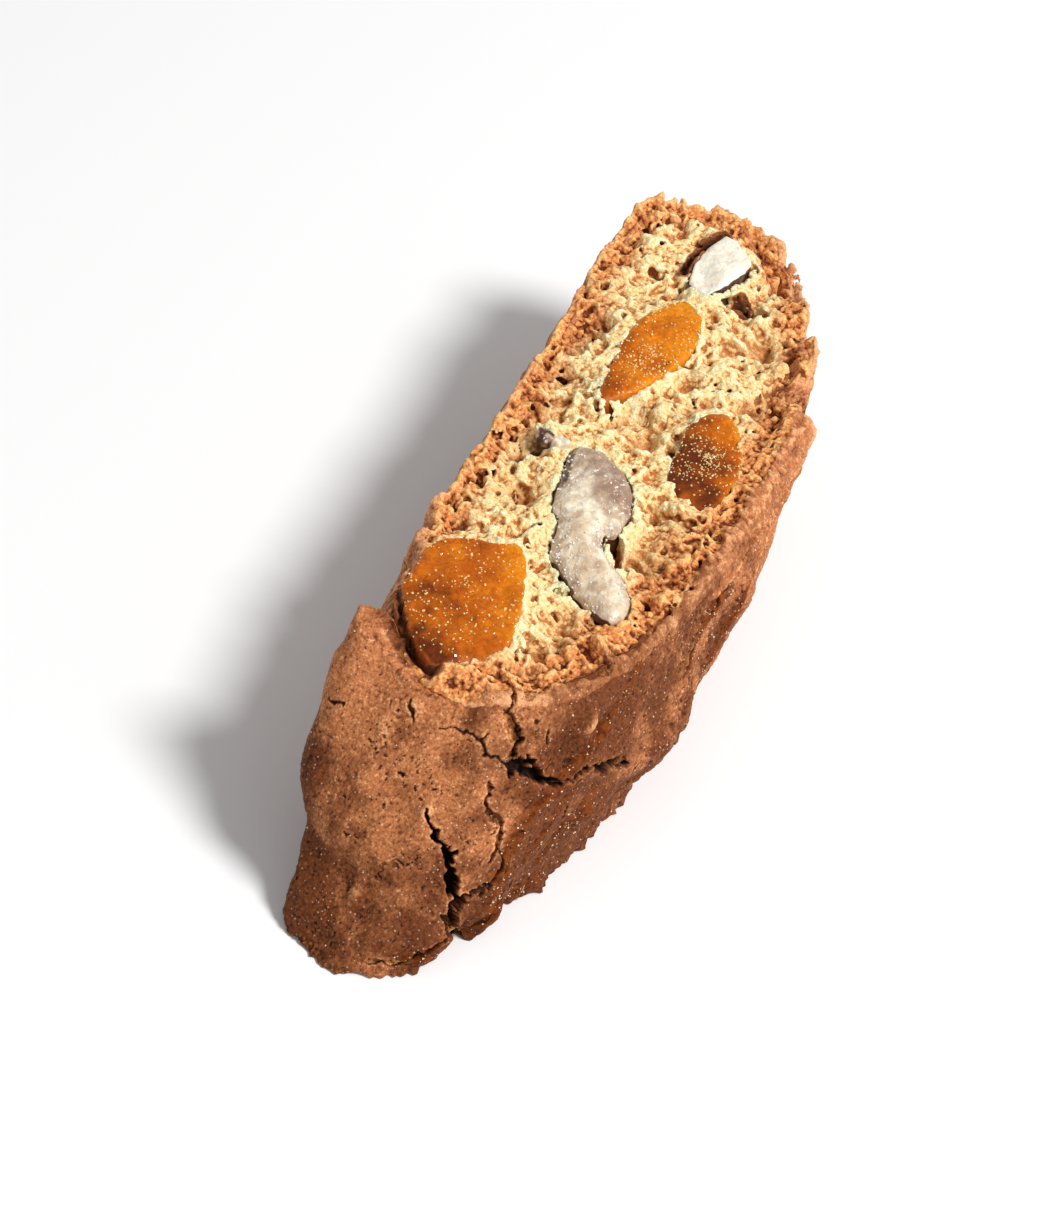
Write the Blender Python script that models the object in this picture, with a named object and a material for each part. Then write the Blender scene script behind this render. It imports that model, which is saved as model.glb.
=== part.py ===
# One slanting slice of a twice-baked loaf with candied fruit and almonds, lying on its back cut face.
#
# The slice is a prism of the loaf's section: a flat base along +Y, a domed top along -Y, the near
# end of the section at -X and the far end at +X. The shown cut face looks up (+Z). The knife went
# through the loaf at a slant, so the back cut face is shifted towards -X. Fruit and nut pieces sit
# in pockets that are open at the cut face; two of the fruit pieces run through to the back.

import math

import bpy
import numpy as np

MM = 0.001

# Driving dimensions, in millimetres.
THICKNESS = 19.5  # between the two cut faces
CUT_SHIFT = 16.8  # how far the slant moves the back face towards -X
MIDDLE = (-0.27, -0.63)  # middle of the slice's outline, which moves to the origin
SEAT_LIFT = 0.3  # gap between the floor and the fruit that reaches the back face
POCKET_GAP = 0.3  # gap between a piece and its pocket

# The section of the loaf at the shown cut face, from the corner of base and near end, by way of the
# near end, the dome, the far end and the base.
SECTION = (
    (-25.4, 10.8), (-27.8, 8.2), (-29.2, 3.0), (-27.6, -2.4), (-23.8, -7.0), (-16.8, -10.4),
    (-7.5, -12.2), (4.5, -12.6), (17.0, -12.2), (28.0, -10.6), (37.0, -7.0), (42.6, -2.2),
    (45.0, 4.0), (44.4, 9.6), (42.0, 12.8), (35.0, 13.3), (20.0, 12.8), (-4.0, 12.5), (-15.0, 11.7),
)
NEAR_DOME_CORNER = (-21.5, -8.5)  # where the near end turns into the dome
FAR_DOME_CORNER = (41.0, -4.2)  # where the dome turns into the far end
FAR_BASE_CORNER = (42.9, 12.2)  # where the far end meets the base

# Grid of the loaf's surface.
CELLS_ALONG = 46
CELLS_ACROSS = 20
CELLS_DEEP = 16

# Forms of the wall as (mm of arc from the first corner, mm below the shown face, half width, half
# height, how far it stands out). The last three pull the wall in towards the back face.
WALL_FORMS = (
    (1.0, 7.5, 8.0, 6.0, 1.8),  # shoulder at the near end of the base
    (0.0, 12.6, 6.0, 1.6, -0.5),  # ledge under it
    (-1.0, 18.0, 5.0, 4.0, 1.2),  # foot of that corner
    (22.0, 10.0, 14.0, 11.0, 0.9),  # middle of the near end
    (58.0, 8.0, 24.0, 9.0, 2.1),  # domed side
    (64.0, 1.8, 3.6, 2.0, 1.3),  # flake beside the fruit
    (41.0, 12.0, 9.0, 4.0, 0.9),  # ridge over the lower crack
    (100.0, 10.0, 14.0, 9.0, 0.6),  # far end
    (0.0, 19.5, 8.0, 9.0, -2.0),
    (27.0, 19.5, 11.0, 10.0, -3.2),
    (50.0, 19.5, 22.0, 10.0, -2.4),
)

# Rim of the shown face: (mm of arc, half width, rise) of the broken crust that stands up or is lost.
RIM_RISES = ((1.2, 3.4, 2.6), (77.0, 3.0, 1.2), (10.0, 4.0, -0.8), (88.0, 4.0, -1.0))

# Cracks of the crust: points as (mm of arc, mm below the cut face), then half width and depth.
CRACKS = (
    (((16.0, 0.6), (17.4, 3.4), (20.8, 6.0), (25.9, 7.0), (34.3, 9.8)), 0.9, 1.3),
    (((12.6, 8.6), (14.8, 10.7), (16.6, 12.8), (18.1, 14.7), (19.6, 19.5)), 1.0, 1.8),
)

# Hollows and lumps of the torn crumb: (x, y, radius, height), in mm.
CRUMB_FORMS = (
    (12.5, 0.6, 4.2, -1.4), (29.0, -5.5, 3.6, -1.3), (33.0, -9.0, 2.4, -2.2), (-5.4, -5.2, 2.0, -2.6),
    (-15.5, -3.2, 2.6, -1.6), (-2.0, 7.5, 3.0, -1.0), (22.5, -2.5, 3.4, 0.7), (-18.0, -7.4, 3.0, 0.8),
    (38.0, -1.0, 3.0, -0.9), (3.0, -9.2, 3.0, 0.6), (-22.6, 0.4, 2.4, -1.0), (36.0, 8.6, 3.6, 0.6),
)

# Pieces baked into the loaf. outline: points at the shown cut face; top: height over the face;
# bottom: height over the floor, or None where the piece runs through to the back; lean: how far it
# drifts towards -X on the way down; taper: its size at the bottom as a share of that at the top.
PIECES = {
    "fruit_large": {
        "outline": ((-26.4, 3.4), (-24.4, 7.4), (-19.2, 10.3), (-14.6, 10.5), (-11.9, 9.4),
                    (-10.6, 6.2), (-9.8, 3.2), (-12.4, 1.6), (-17.2, 0.1), (-22.0, -0.5), (-24.8, 1.4)),
        "top": 0.9, "bottom": None, "lean": 4.0, "taper": 0.72,
    },
    "fruit_upper": {
        "outline": ((13.0, 4.9), (18.0, 5.9), (24.2, 6.2), (28.4, 4.7), (30.0, 2.6), (27.2, 0.5),
                    (23.2, 0.0), (18.6, 1.2), (14.4, 3.3)),
        "top": 0.5, "bottom": None, "lean": 11.0, "taper": 0.78,
    },
    "fruit_right": {
        "outline": ((4.2, -7.4), (6.0, -4.8), (10.3, -3.9), (15.4, -3.8), (17.2, -6.4), (13.4, -9.0),
                    (8.0, -10.2), (4.6, -9.4)),
        "top": 0.1, "bottom": 9.0, "lean": 4.0, "taper": 0.7,
    },
    "nut_kernel": {
        "outline": ((4.8, 4.8), (6.8, 2.6), (6.0, 0.2), (3.0, -2.2), (-1.2, -3.6), (-3.9, -3.0),
                    (-6.6, -4.6), (-8.8, -6.8), (-11.8, -8.0), (-13.8, -6.7), (-11.2, -2.7),
                    (-8.8, 0.4), (-4.2, 1.6), (0.2, 3.9)),
        "top": 0.8, "bottom": 11.0, "lean": 0.5, "taper": 0.6,
    },
    "nut_chip": {
        "outline": ((31.8, 2.6), (33.0, 4.1), (37.0, 4.6), (40.6, 3.7), (40.8, 1.1), (37.4, 0.4), (33.2, 1.3)),
        "top": 0.7, "bottom": 14.0, "lean": 16.0, "taper": 0.7,
    },
}
PIECE_COLUMNS = 24
PIECE_DOME_ROWS = 3
PIECE_WALL_ROWS = 4

COLOURS = {
    "biscuit": (0.62, 0.36, 0.15), "fruit": (0.62, 0.20, 0.02), "nut": (0.72, 0.62, 0.45),
}


# --- Numbers that look random but are the same each time. ---


def hash_unit(ix, iy, iz, seed):
    """A number from 0 to 1 for each whole-number cell."""
    with np.errstate(over="ignore"):
        h = (ix.astype(np.int64) * 374761393 + iy.astype(np.int64) * 668265263
             + iz.astype(np.int64) * 2147483647 + seed * 1274126177).astype(np.uint64)
        h ^= h >> np.uint64(13)
        h *= np.uint64(1274126177)
        h ^= h >> np.uint64(16)
    return (h & np.uint64(0xFFFFFF)).astype(float) / float(0xFFFFFF)


def smooth_noise(points, size, seed):
    """Noise from -1 to 1 whose lumps are about size across: cell corners blended by a smooth step."""
    q = points / size
    cell = np.floor(q)
    f = q - cell
    f = f * f * (3 - 2 * f)
    total = np.zeros(len(points))
    for corner in np.ndindex(2, 2, 2):
        weight = np.prod(np.where(np.array(corner) == 1, f, 1 - f), axis=1)
        c = cell + corner
        total += weight * hash_unit(c[:, 0], c[:, 1], c[:, 2], seed)
    return 2 * total - 1


def bump(x, middle, half_width):
    """1 at the middle, falling smoothly to 0 at about 1.5 half widths."""
    return np.exp(-((x - middle) / half_width) ** 2 * 1.5)


# --- The loaf's section as a closed curve. ---


def closed_curve(points, count):
    """count points evenly spaced along a smooth closed curve through the given points."""
    p = np.array(points, float)
    t = np.linspace(0, 1, 24, endpoint=False)[:, None]
    fine = []
    for i in range(len(p)):
        a, b, c, d = p[i - 1], p[i], p[(i + 1) % len(p)], p[(i + 2) % len(p)]
        fine.append(0.5 * (2 * b + (c - a) * t + (2 * a - 5 * b + 4 * c - d) * t**2
                           + (3 * b - a - 3 * c + d) * t**3))
    fine = np.vstack(fine + [p[:1]])
    arc = np.concatenate([[0], np.cumsum(np.linalg.norm(np.diff(fine, axis=0), axis=1))])
    where = np.linspace(0, arc[-1], count, endpoint=False)
    return np.stack([np.interp(where, arc, fine[:, k]) for k in range(2)], 1), where, arc[-1]


def arc_of(corner, curve, arcs):
    """The arc length at which the curve passes nearest to a corner point."""
    return arcs[np.argmin(np.linalg.norm(curve - np.array(corner), axis=1))]


def rim_columns():
    """The section sampled so that each side of the face has its own number of columns."""
    fine, arcs, length = closed_curve(SECTION, 4000)
    stops = [0.0] + [arc_of(c, fine, arcs) for c in (NEAR_DOME_CORNER, FAR_DOME_CORNER, FAR_BASE_CORNER)]
    stops.append(length)
    cells = (CELLS_ACROSS, CELLS_ALONG, CELLS_ACROSS, CELLS_ALONG)
    arc = np.concatenate([np.linspace(stops[k], stops[k + 1], cells[k], endpoint=False) for k in range(4)])
    xy = np.stack([np.interp(arc, np.append(arcs, length), np.append(fine[:, k], fine[0, k]))
                   for k in range(2)], 1)
    tangent = np.roll(xy, -1, axis=0) - np.roll(xy, 1, axis=0)
    tangent /= np.linalg.norm(tangent, axis=1)[:, None]
    outward = np.stack([tangent[:, 1], -tangent[:, 0]], 1)
    return xy, arc, outward, length


# --- The loaf's surface. ---


def around(arc, place, half_width, length):
    """bump() along the closed rim, so that a place near the first corner also counts before it."""
    gap = np.abs(arc - place) % length
    return bump(np.minimum(gap, length - gap), 0.0, half_width)


def distance_to_line(points, line):
    """Distance from each 2-D point to a line of straight runs."""
    nearest = np.full(len(points), np.inf)
    for a, b in zip(np.array(line[:-1], float), np.array(line[1:], float)):
        share = np.clip((points - a) @ (b - a) / ((b - a) @ (b - a)), 0, 1)
        nearest = np.minimum(nearest, np.linalg.norm(points - a - share[:, None] * (b - a), axis=1))
    return nearest


def rim_rise(arc, length):
    return sum(rise * around(arc, place, width, length) for place, width, rise in RIM_RISES)


def wall(depth, xy, arc, outward, length):
    """One ring of the wall. depth runs from 0 at the shown face to 1 at the back face."""
    edge = min(1.0, 6 * depth, 8 * (1 - depth))
    out = np.full(len(arc), 0.35 * edge)
    for place, below, width, height, size in WALL_FORMS:
        out += size * around(arc, place, width, length) * bump(THICKNESS * depth, below, height)
    flat = xy - np.array([CUT_SHIFT * depth, 0.0])
    z = np.full(len(arc), THICKNESS * (1 - depth)) + rim_rise(arc, length) * (1 - depth) ** 4
    place = np.column_stack([flat, z])
    out = out + edge * (0.55 * smooth_noise(place, 7.0, 11) + 0.3 * smooth_noise(place, 3.1, 12))
    run = np.column_stack([arc, THICKNESS * depth * np.ones(len(arc))])
    for line, width, deep in CRACKS:
        out = out - deep * bump(distance_to_line(run, line), 0.0, width)
    return np.column_stack([flat + outward * out[:, None], z])


def face_grid(ring):
    """Fills a closed ring of columns with a grid: the four sides are blended across to each other."""
    n, m = CELLS_ALONG, CELLS_ACROSS
    near = ring[: m + 1]
    dome = ring[m : m + n + 1]
    far = ring[m + n : 2 * m + n + 1][::-1]
    base = np.vstack([ring[2 * m + n :], ring[:1]])[::-1]
    s = np.linspace(0, 1, n + 1)[:, None, None]
    t = np.linspace(0, 1, m + 1)[None, :, None]
    across = (1 - t) * base[:, None] + t * dome[:, None]
    along = (1 - s) * near[None] + s * far[None]
    corners = ((1 - s) * (1 - t) * near[0] + s * (1 - t) * far[0] + (1 - s) * t * near[-1] + s * t * far[-1])
    return across + along - corners


def crumb_height(xy):
    """Relief of a torn cut face: uneven ground, then the named hollows and lumps."""
    flat = np.column_stack([xy, np.zeros(len(xy))])
    height = 0.45 * smooth_noise(flat, 6.0, 21) + 0.4 * smooth_noise(flat, 2.6, 22)
    for x, y, radius, size in CRUMB_FORMS:
        height += size * bump(np.hypot(xy[:, 0] - x, xy[:, 1] - y), 0.0, radius)
    return height


def shown_face(ring):
    grid = face_grid(ring[:, :2])
    xy = grid.reshape(-1, 2)
    gap = np.linalg.norm(xy[:, None] - ring[None, :, :2], axis=2)
    closest = gap.argmin(1)
    rim_share = np.exp(-((gap.min(1) / 1.6) ** 2))
    height = (1 - rim_share) * crumb_height(xy) + rim_share * (ring[closest, 2] - THICKNESS)
    return np.column_stack([xy, THICKNESS + height]).reshape(*grid.shape[:2], 3)


def back_face(ring):
    """The face that the slice lies on: flat where the knife left it, with torn pits."""
    grid = face_grid(ring[:, :2])
    xy = grid.reshape(-1, 2)
    flat = np.column_stack([xy, np.zeros(len(xy))])
    pits = 1.6 * np.clip(smooth_noise(flat, 3.4, 31) - 0.28, 0, None)
    rim = np.linalg.norm(xy[:, None] - ring[None, :, :2], axis=2).min(1)
    return np.column_stack([xy, pits * np.clip(rim / 2 - 0.5, 0, 1)]).reshape(*grid.shape[:2], 3)


def face_indices(ring_start, inner_start):
    """Vertex numbers of a face's grid: its edge belongs to the ring, its inside is its own."""
    n, m = CELLS_ALONG, CELLS_ACROSS
    columns = 2 * (n + m)
    index = np.zeros((n + 1, m + 1), int)
    j, i = np.arange(m + 1), np.arange(n + 1)
    index[1:n, 1:m] = inner_start + np.arange((n - 1) * (m - 1)).reshape(n - 1, m - 1)
    index[0, j] = ring_start + j
    index[i, m] = ring_start + m + i
    index[n, j] = ring_start + 2 * m + n - j
    index[i, 0] = ring_start + (2 * (m + n) - i) % columns
    return index


def quads(index):
    return np.stack([index[:-1, :-1], index[:-1, 1:], index[1:, 1:], index[1:, :-1]], -1).reshape(-1, 4)


def biscuit_mesh():
    xy, arc, outward, length = rim_columns()
    columns = len(arc)
    depths = np.linspace(0, 1, CELLS_DEEP + 1)
    rings = [wall(d, xy, arc, outward, length) for d in depths]
    rings[-1][:, 2] = 0.0
    top, bottom = shown_face(rings[0]), back_face(rings[-1])
    inner = [face[1:-1, 1:-1].reshape(-1, 3) for face in (top, bottom)]
    points = np.vstack(rings + inner)
    last = CELLS_DEEP * columns
    top_index = face_indices(0, last + columns)
    bottom_index = face_indices(last, last + columns + len(inner[0]))
    around_index = np.arange(last + columns).reshape(-1, columns)
    around_index = np.column_stack([around_index, around_index[:, :1]])
    return points, np.vstack([quads(top_index), quads(around_index)[:, ::-1], quads(bottom_index)[:, ::-1]])


# --- The pieces baked in. ---


def piece_mesh(shape, grow=0.0, reach=0.0):
    """A closed chunk: domed top, tapering wall and domed bottom. grow widens it and reach makes its
    open ends longer, which turns it into the cutter of its own pocket."""
    xy, _, length = closed_curve(shape["outline"], PIECE_COLUMNS)
    tangent = np.roll(xy, -1, axis=0) - np.roll(xy, 1, axis=0)
    tangent /= np.linalg.norm(tangent, axis=1)[:, None]
    side = np.stack([tangent[:, 1], -tangent[:, 0]], 1)
    if np.sum(xy[:, 0] * np.roll(xy[:, 1], -1) - xy[:, 1] * np.roll(xy[:, 0], -1)) < 0:
        xy, side = xy[::-1], -side[::-1]
    centre = xy.mean(0)
    through = shape["bottom"] is None
    low = (SEAT_LIFT - reach if through else shape["bottom"] - grow)
    high = THICKNESS + shape["top"] + reach
    crown = min(1.0, 0.12 * length / math.pi)
    rows = []
    for k in range(1, PIECE_DOME_ROWS + 1):  # the domed top
        angle = math.pi / 2 * k / PIECE_DOME_ROWS
        rows.append((math.sin(angle), high - crown * (1 - math.cos(angle))))
    for k in range(1, PIECE_WALL_ROWS):  # the wall
        rows.append((1.0, high - crown + (low + crown - high + crown) * k / PIECE_WALL_ROWS))
    for k in range(PIECE_DOME_ROWS, 0, -1):  # the domed bottom
        angle = math.pi / 2 * k / PIECE_DOME_ROWS
        rows.append((math.sin(angle), low + crown * (1 - math.cos(angle))))
    points = []
    for share, z in rows:
        sunk = (THICKNESS - z) / THICKNESS
        size = 1 - (1 - shape["taper"]) * sunk
        ring = centre + (xy - centre) * size * share + side * grow * share
        ring = ring - np.array([shape["lean"] * sunk, 0.0])
        points.append(np.column_stack([ring, np.full(len(ring), z)]))
    top = np.append(points[0][:, :2].mean(0), high)
    bottom = np.append(points[-1][:, :2].mean(0), low)
    index = np.arange(len(rows) * PIECE_COLUMNS).reshape(len(rows), -1)
    index = np.column_stack([index, index[:, :1]])
    faces = [tuple(f) for f in quads(index)]
    first, last, count = index[0], index[-1], len(rows) * PIECE_COLUMNS
    faces += [(count, first[k + 1], first[k]) for k in range(PIECE_COLUMNS)]
    faces += [(count + 1, last[k], last[k + 1]) for k in range(PIECE_COLUMNS)]
    return np.vstack(points + [top, bottom]), [f[::-1] for f in faces]


# --- Blender objects. ---


def material(name, colour, roughness):
    made = bpy.data.materials.new(name)
    made.use_nodes = True
    shader = made.node_tree.nodes["Principled BSDF"]
    shader.inputs["Base Color"].default_value = (*colour, 1.0)
    shader.inputs["Roughness"].default_value = roughness
    shader.inputs["Metallic"].default_value = 0.0
    return made


def mesh_object(name, points, faces, finish):
    mesh = bpy.data.meshes.new(name)
    placed = np.asarray(points) - np.array([*MIDDLE, 0.0])
    mesh.from_pydata((placed * MM).tolist(), [], [list(map(int, f)) for f in faces])
    mesh.validate()
    mesh.shade_smooth()
    mesh.materials.append(finish)
    made = bpy.data.objects.new(name, mesh)
    bpy.context.scene.collection.objects.link(made)
    return made


def cut_pocket(body, cutter):
    cutter.hide_render = True
    cutter.display_type = "WIRE"
    cut = body.modifiers.new("pocket_" + cutter.name, "BOOLEAN")
    cut.operation = "DIFFERENCE"
    cut.solver = "EXACT"
    cut.object = cutter


def main():
    for old in list(bpy.data.objects):
        bpy.data.objects.remove(old)
    finishes = {name: material(name, colour, 0.7) for name, colour in COLOURS.items()}
    body = mesh_object("biscuit", *biscuit_mesh(), finishes["biscuit"])
    for name, shape in PIECES.items():
        mesh_object(name, *piece_mesh(shape), finishes[name.split("_")[0]])
        cutter = mesh_object("cutter_" + name, *piece_mesh(shape, POCKET_GAP, 4.0), finishes["biscuit"])
        cut_pocket(body, cutter)


main()
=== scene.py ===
import math

import bpy
import numpy as np
from mathutils import Matrix


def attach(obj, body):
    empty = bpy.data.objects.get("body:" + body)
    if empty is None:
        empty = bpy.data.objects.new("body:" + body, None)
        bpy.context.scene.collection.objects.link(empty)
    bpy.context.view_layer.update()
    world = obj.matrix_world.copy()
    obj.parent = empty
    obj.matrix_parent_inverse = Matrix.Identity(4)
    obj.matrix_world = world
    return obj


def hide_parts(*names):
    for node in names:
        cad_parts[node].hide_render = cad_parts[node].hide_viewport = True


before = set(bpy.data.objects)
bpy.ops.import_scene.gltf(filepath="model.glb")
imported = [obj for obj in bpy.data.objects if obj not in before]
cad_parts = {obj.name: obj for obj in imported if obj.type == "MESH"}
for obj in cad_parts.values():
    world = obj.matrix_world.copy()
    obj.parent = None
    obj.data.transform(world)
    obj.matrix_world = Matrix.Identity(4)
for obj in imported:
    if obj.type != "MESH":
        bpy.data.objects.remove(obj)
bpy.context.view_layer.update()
print("frame loaded with", len(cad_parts), "nodes")

mm = 0.001  # every size below is in millimetres

# The slice of the loaf: its section at the shown cut face, the slant of the knife, and the wall.
loaf = {
    "thickness": 19.5,  # between the two cut faces
    "slant": 16.8,  # how far the back face lies towards -X
    "middle": (-0.27, -0.63),  # middle of the slice's outline, which moves to the origin
    "section": (
        (-25.4, 10.8), (-27.8, 8.2), (-29.2, 3.0), (-27.6, -2.4), (-23.8, -7.0), (-16.8, -10.4),
        (-7.5, -12.2), (4.5, -12.6), (17.0, -12.2), (28.0, -10.6), (37.0, -7.0), (42.6, -2.2),
        (45.0, 4.0), (44.4, 9.6), (42.0, 12.8), (35.0, 13.3), (20.0, 12.8), (-4.0, 12.5), (-15.0, 11.7),
    ),
    # along the rim, below the shown face, half width, half height, how far it stands out
    "wallForms": (
        (1.0, 7.5, 8.0, 6.0, 1.8),  # shoulder at the near end of the base
        (0.0, 12.6, 6.0, 1.6, -0.5),  # ledge under it
        (-1.0, 18.0, 5.0, 4.0, 1.2),  # foot of that corner
        (22.0, 10.0, 14.0, 11.0, 0.9),  # middle of the near end
        (58.0, 8.0, 24.0, 9.0, 2.1),  # domed side
        (64.0, 1.8, 3.6, 2.0, 1.3),  # flake beside the fruit
        (41.0, 12.0, 9.0, 4.0, 0.9),  # ridge over the lower crack
        (100.0, 10.0, 14.0, 9.0, 0.6),  # far end
        (0.0, 19.5, 8.0, 9.0, -2.0),  # the wall leans in towards the back
        (27.0, 19.5, 11.0, 10.0, -3.2),
        (50.0, 19.5, 22.0, 10.0, -2.4),
    ),
    # smaller lumps and hollows of the wall, given alike
    "fineForms": (
        (0.0, 1.2, 3.0, 3.4, 0.9), (171.0, 0.0, 2.4, 2.0, -1.0), (174.6, 7.0, 3.0, 2.4, -0.45),
        (173.8, 16.8, 3.0, 3.0, -1.1), (3.4, 19.5, 2.2, 1.4, 0.65), (9.5, 19.5, 2.0, 1.4, 0.35),
        (14.0, 19.5, 1.6, 1.4, -0.25), (19.0, 19.5, 3.0, 2.4, -0.8), (20.6, 19.5, 1.0, 2.8, -2.2),
        (24.6, 18.6, 1.8, 2.0, 0.15), (28.4, 19.5, 1.8, 2.4, -0.95), (38.0, 19.5, 3.0, 3.0, -0.5),
        (46.5, 19.5, 3.0, 4.0, 0.9), (44.0, 12.4, 4.5, 3.5, 0.8), (57.0, 15.5, 2.0, 2.0, 0.4),
        (61.0, 7.0, 4.0, 4.0, -0.7), (66.2, 0.8, 1.2, 1.4, 1.1), (66.0, 6.6, 3.6, 4.6, -0.6),
        (75.8, 0.0, 1.2, 1.6, 0.3), (55.6, 7.5, 2.5, 2.5, -0.3), (22.3, 19.5, 0.9, 2.4, -1.5),
        (33.4, 19.5, 1.6, 2.0, 0.25), (69.6, 0.6, 1.7, 1.7, -1.4), (71.8, 2.0, 1.9, 2.4, -2.2),
        (80.8, 0.0, 2.0, 2.0, -0.65), (88.2, 0.0, 2.8, 2.5, 0.9), (91.6, 0.0, 2.4, 2.0, 0.8),
        (98.6, 0.0, 1.6, 2.0, 0.85), (103.8, 0.0, 1.2, 1.5, -0.5), (77.6, 0.0, 0.9, 1.5, -0.25),
        (106.0, 0.0, 1.0, 1.5, 0.1), (112.5, 0.0, 2.4, 2.0, -0.3), (121.0, 0.0, 3.5, 2.0, 0.1),
        (131.0, 0.0, 2.5, 2.0, -0.4), (146.2, 0.0, 2.0, 2.0, -0.5), (152.8, 0.0, 1.0, 2.0, -0.35),
        (159.9, 0.6, 1.3, 2.0, -1.2), (157.2, 0.4, 1.4, 2.0, 0.6), (161.6, 0.6, 1.0, 2.0, 0.5),
        (165.4, 0.5, 2.4, 2.4, -0.8),
    ),
    # along the rim, half width, rise of the broken edge
    "rimRises": ((0.6, 3.3, 2.6), (77.0, 3.0, 0.9), (10.0, 4.0, -0.8), (88.0, 4.0, -0.7),
                 (98.0, 16.0, 0.5), (126.0, 20.0, 0.35), (150.0, 12.0, 0.25)),
    # along the rim, width of the browned margin of the crumb
    "margin": ((0, 4.6), (12, 5.6), (24, 8.6), (34, 9.6), (46, 8.4), (56, 6.4), (66, 6.2), (82, 4.8),
               (97, 5.2), (112, 4.8), (135, 4.6), (155, 5.4), (168, 4.6)),
}
thickness = loaf["thickness"]


# One number from 0 to 1 for each whole-number cell: the cell's numbers are mixed, the same every run.
def cellNumber(cells, seed):
    c = cells.astype(np.int64)
    h = c[..., 0] * 374761393 + c[..., 1] * 668265263 + c[..., 2] * 2147483647 + seed * 1274126177
    h = h.astype(np.uint64)
    h ^= h >> np.uint64(13)
    h *= np.uint64(1274126177)
    h ^= h >> np.uint64(16)
    return (h & np.uint64(0xFFFFFF)).astype(float) / float(0xFFFFFF)


# Noise from -1 to 1: the numbers of the eight cell corners, blended by 3t^2 - 2t^3 along each side.
def smoothNoise(points, size, seed):
    q = points / size
    cell = np.floor(q)
    t = q - cell
    t = t * t * (3 - 2 * t)
    total = np.zeros(points.shape[:-1])
    for corner in np.ndindex(2, 2, 2):
        weight = np.prod(np.where(np.array(corner) == 1, t, 1 - t), axis=-1)
        total += weight * cellNumber(cell + corner, seed)
    return 2 * total - 1


# Twelve slopes, each along two of the three axes.
signs = [(a, b) for a in (-1, 1) for b in (-1, 1)]
slopes = np.array([np.insert(pair, k, 0) for k in (2, 1, 0) for pair in signs])


# Noise of about -1 to 1 from slopes instead of heights, which shows no straight rows: each cell corner
# has one of twelve slopes, and their planes are blended by 6t^5 - 15t^4 + 10t^3.
def slopeNoise(points, size, seed):
    q = points / size
    cell = np.floor(q)
    part = q - cell
    t = part**3 * (part * (6 * part - 15) + 10)
    total = np.zeros(points.shape[:-1])
    for corner in np.ndindex(2, 2, 2):
        weight = np.prod(np.where(np.array(corner) == 1, t, 1 - t), axis=-1)
        slope = slopes[(cellNumber(cell + corner, seed) * 11.99).astype(int)]
        total += weight * np.sum(slope * (part - corner), axis=-1)
    return 1.7 * total


# How deep a point in space lies inside the pores scattered over a lattice, sqrt(r^2 - distance^2).
def poreDepth(points, size, share, small, large, seed):
    base = np.floor(points / size)
    deepest = np.zeros(points.shape[:-1])
    for corner in np.ndindex(3, 3, 3):
        cell = base + np.array(corner) - 1
        centre = np.stack([cellNumber(cell, seed + k) for k in range(3)], -1)
        centre = (cell + 0.1 + 0.8 * centre) * size
        radius = size * (small + (large - small) * cellNumber(cell, seed + 3))
        there = cellNumber(cell, seed + 4) < share
        left = radius**2 - np.sum((points - centre) ** 2, axis=-1)
        deepest = np.maximum(deepest, np.where(there, np.sqrt(np.clip(left, 0, None)), 0))
    return deepest


# Rounded clumps, 1 at the middle of each and about 0 in the creases between them: the square of the
# distance to the nearest of the middles scattered over a lattice.
def clumps(points, size, seed):
    base = np.floor(points / size)
    nearest = np.full(points.shape[:-1], 9.0)
    for corner in np.ndindex(3, 3, 3):
        cell = base + np.array(corner) - 1
        centre = cell + 0.15 + 0.7 * np.stack([cellNumber(cell, seed + k) for k in range(3)], -1)
        nearest = np.minimum(nearest, np.sum((points / size - centre) ** 2, axis=-1))
    return 1 - np.minimum(nearest / 0.6, 1)


# 1 at the middle, falling as exp(-1.5 x^2) of the distance in half widths.
def bump(x, middle, halfWidth):
    return np.exp(-((x - middle) / halfWidth) ** 2 * 1.5)


# 0 below the low value, 1 above the high one, 3t^2 - 2t^3 between.
def step(x, low, high):
    t = np.clip((x - low) / (high - low), 0, 1)
    return t * t * (3 - 2 * t)


# Length along a run of points up to each of them.
def runLengths(points):
    return np.concatenate([[0], np.cumsum(np.linalg.norm(np.diff(points, axis=0), axis=1))])


# Places on a run of flat points, read at lengths along it.
def alongRun(where, lengths, points):
    return np.stack([np.interp(where, lengths, points[:, k]) for k in range(2)], -1)


# A closed smooth curve through the points (Catmull-Rom cubics), sampled at even arc lengths.
def closedCurve(points, count):
    b = np.array(points, float)[:, None]
    a, c, d = np.roll(b, 1, 0), np.roll(b, -1, 0), np.roll(b, -2, 0)
    t = np.linspace(0, 1, 24, endpoint=False)[None, :, None]
    fine = 0.5 * (2 * b + (c - a) * t + (2 * a - 5 * b + 4 * c - d) * t**2 + (3 * b - a - 3 * c + d) * t**3)
    fine = np.vstack([fine.reshape(-1, 2), b[0]])
    arc = runLengths(fine)
    where = np.linspace(0, arc[-1], count, endpoint=False)
    return alongRun(where, arc, fine), where, arc[-1]


rimXy, rimArc, rimLength = closedCurve(loaf["section"], 4000)
rimTangent = np.roll(rimXy, -3, 0) - np.roll(rimXy, 3, 0)
rimTangent /= np.linalg.norm(rimTangent, axis=1)[:, None]
rimOut = np.stack([rimTangent[:, 1], -rimTangent[:, 0]], 1)


# A value given round the rim, read at any place along it.
def alongRim(values, arc):
    return np.interp(arc, rimArc, values, period=rimLength)


# The point of the rim at a length along it.
def rimPoint(arc):
    return np.stack([alongRim(rimXy[:, k], arc) for k in range(2)], -1)


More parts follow.
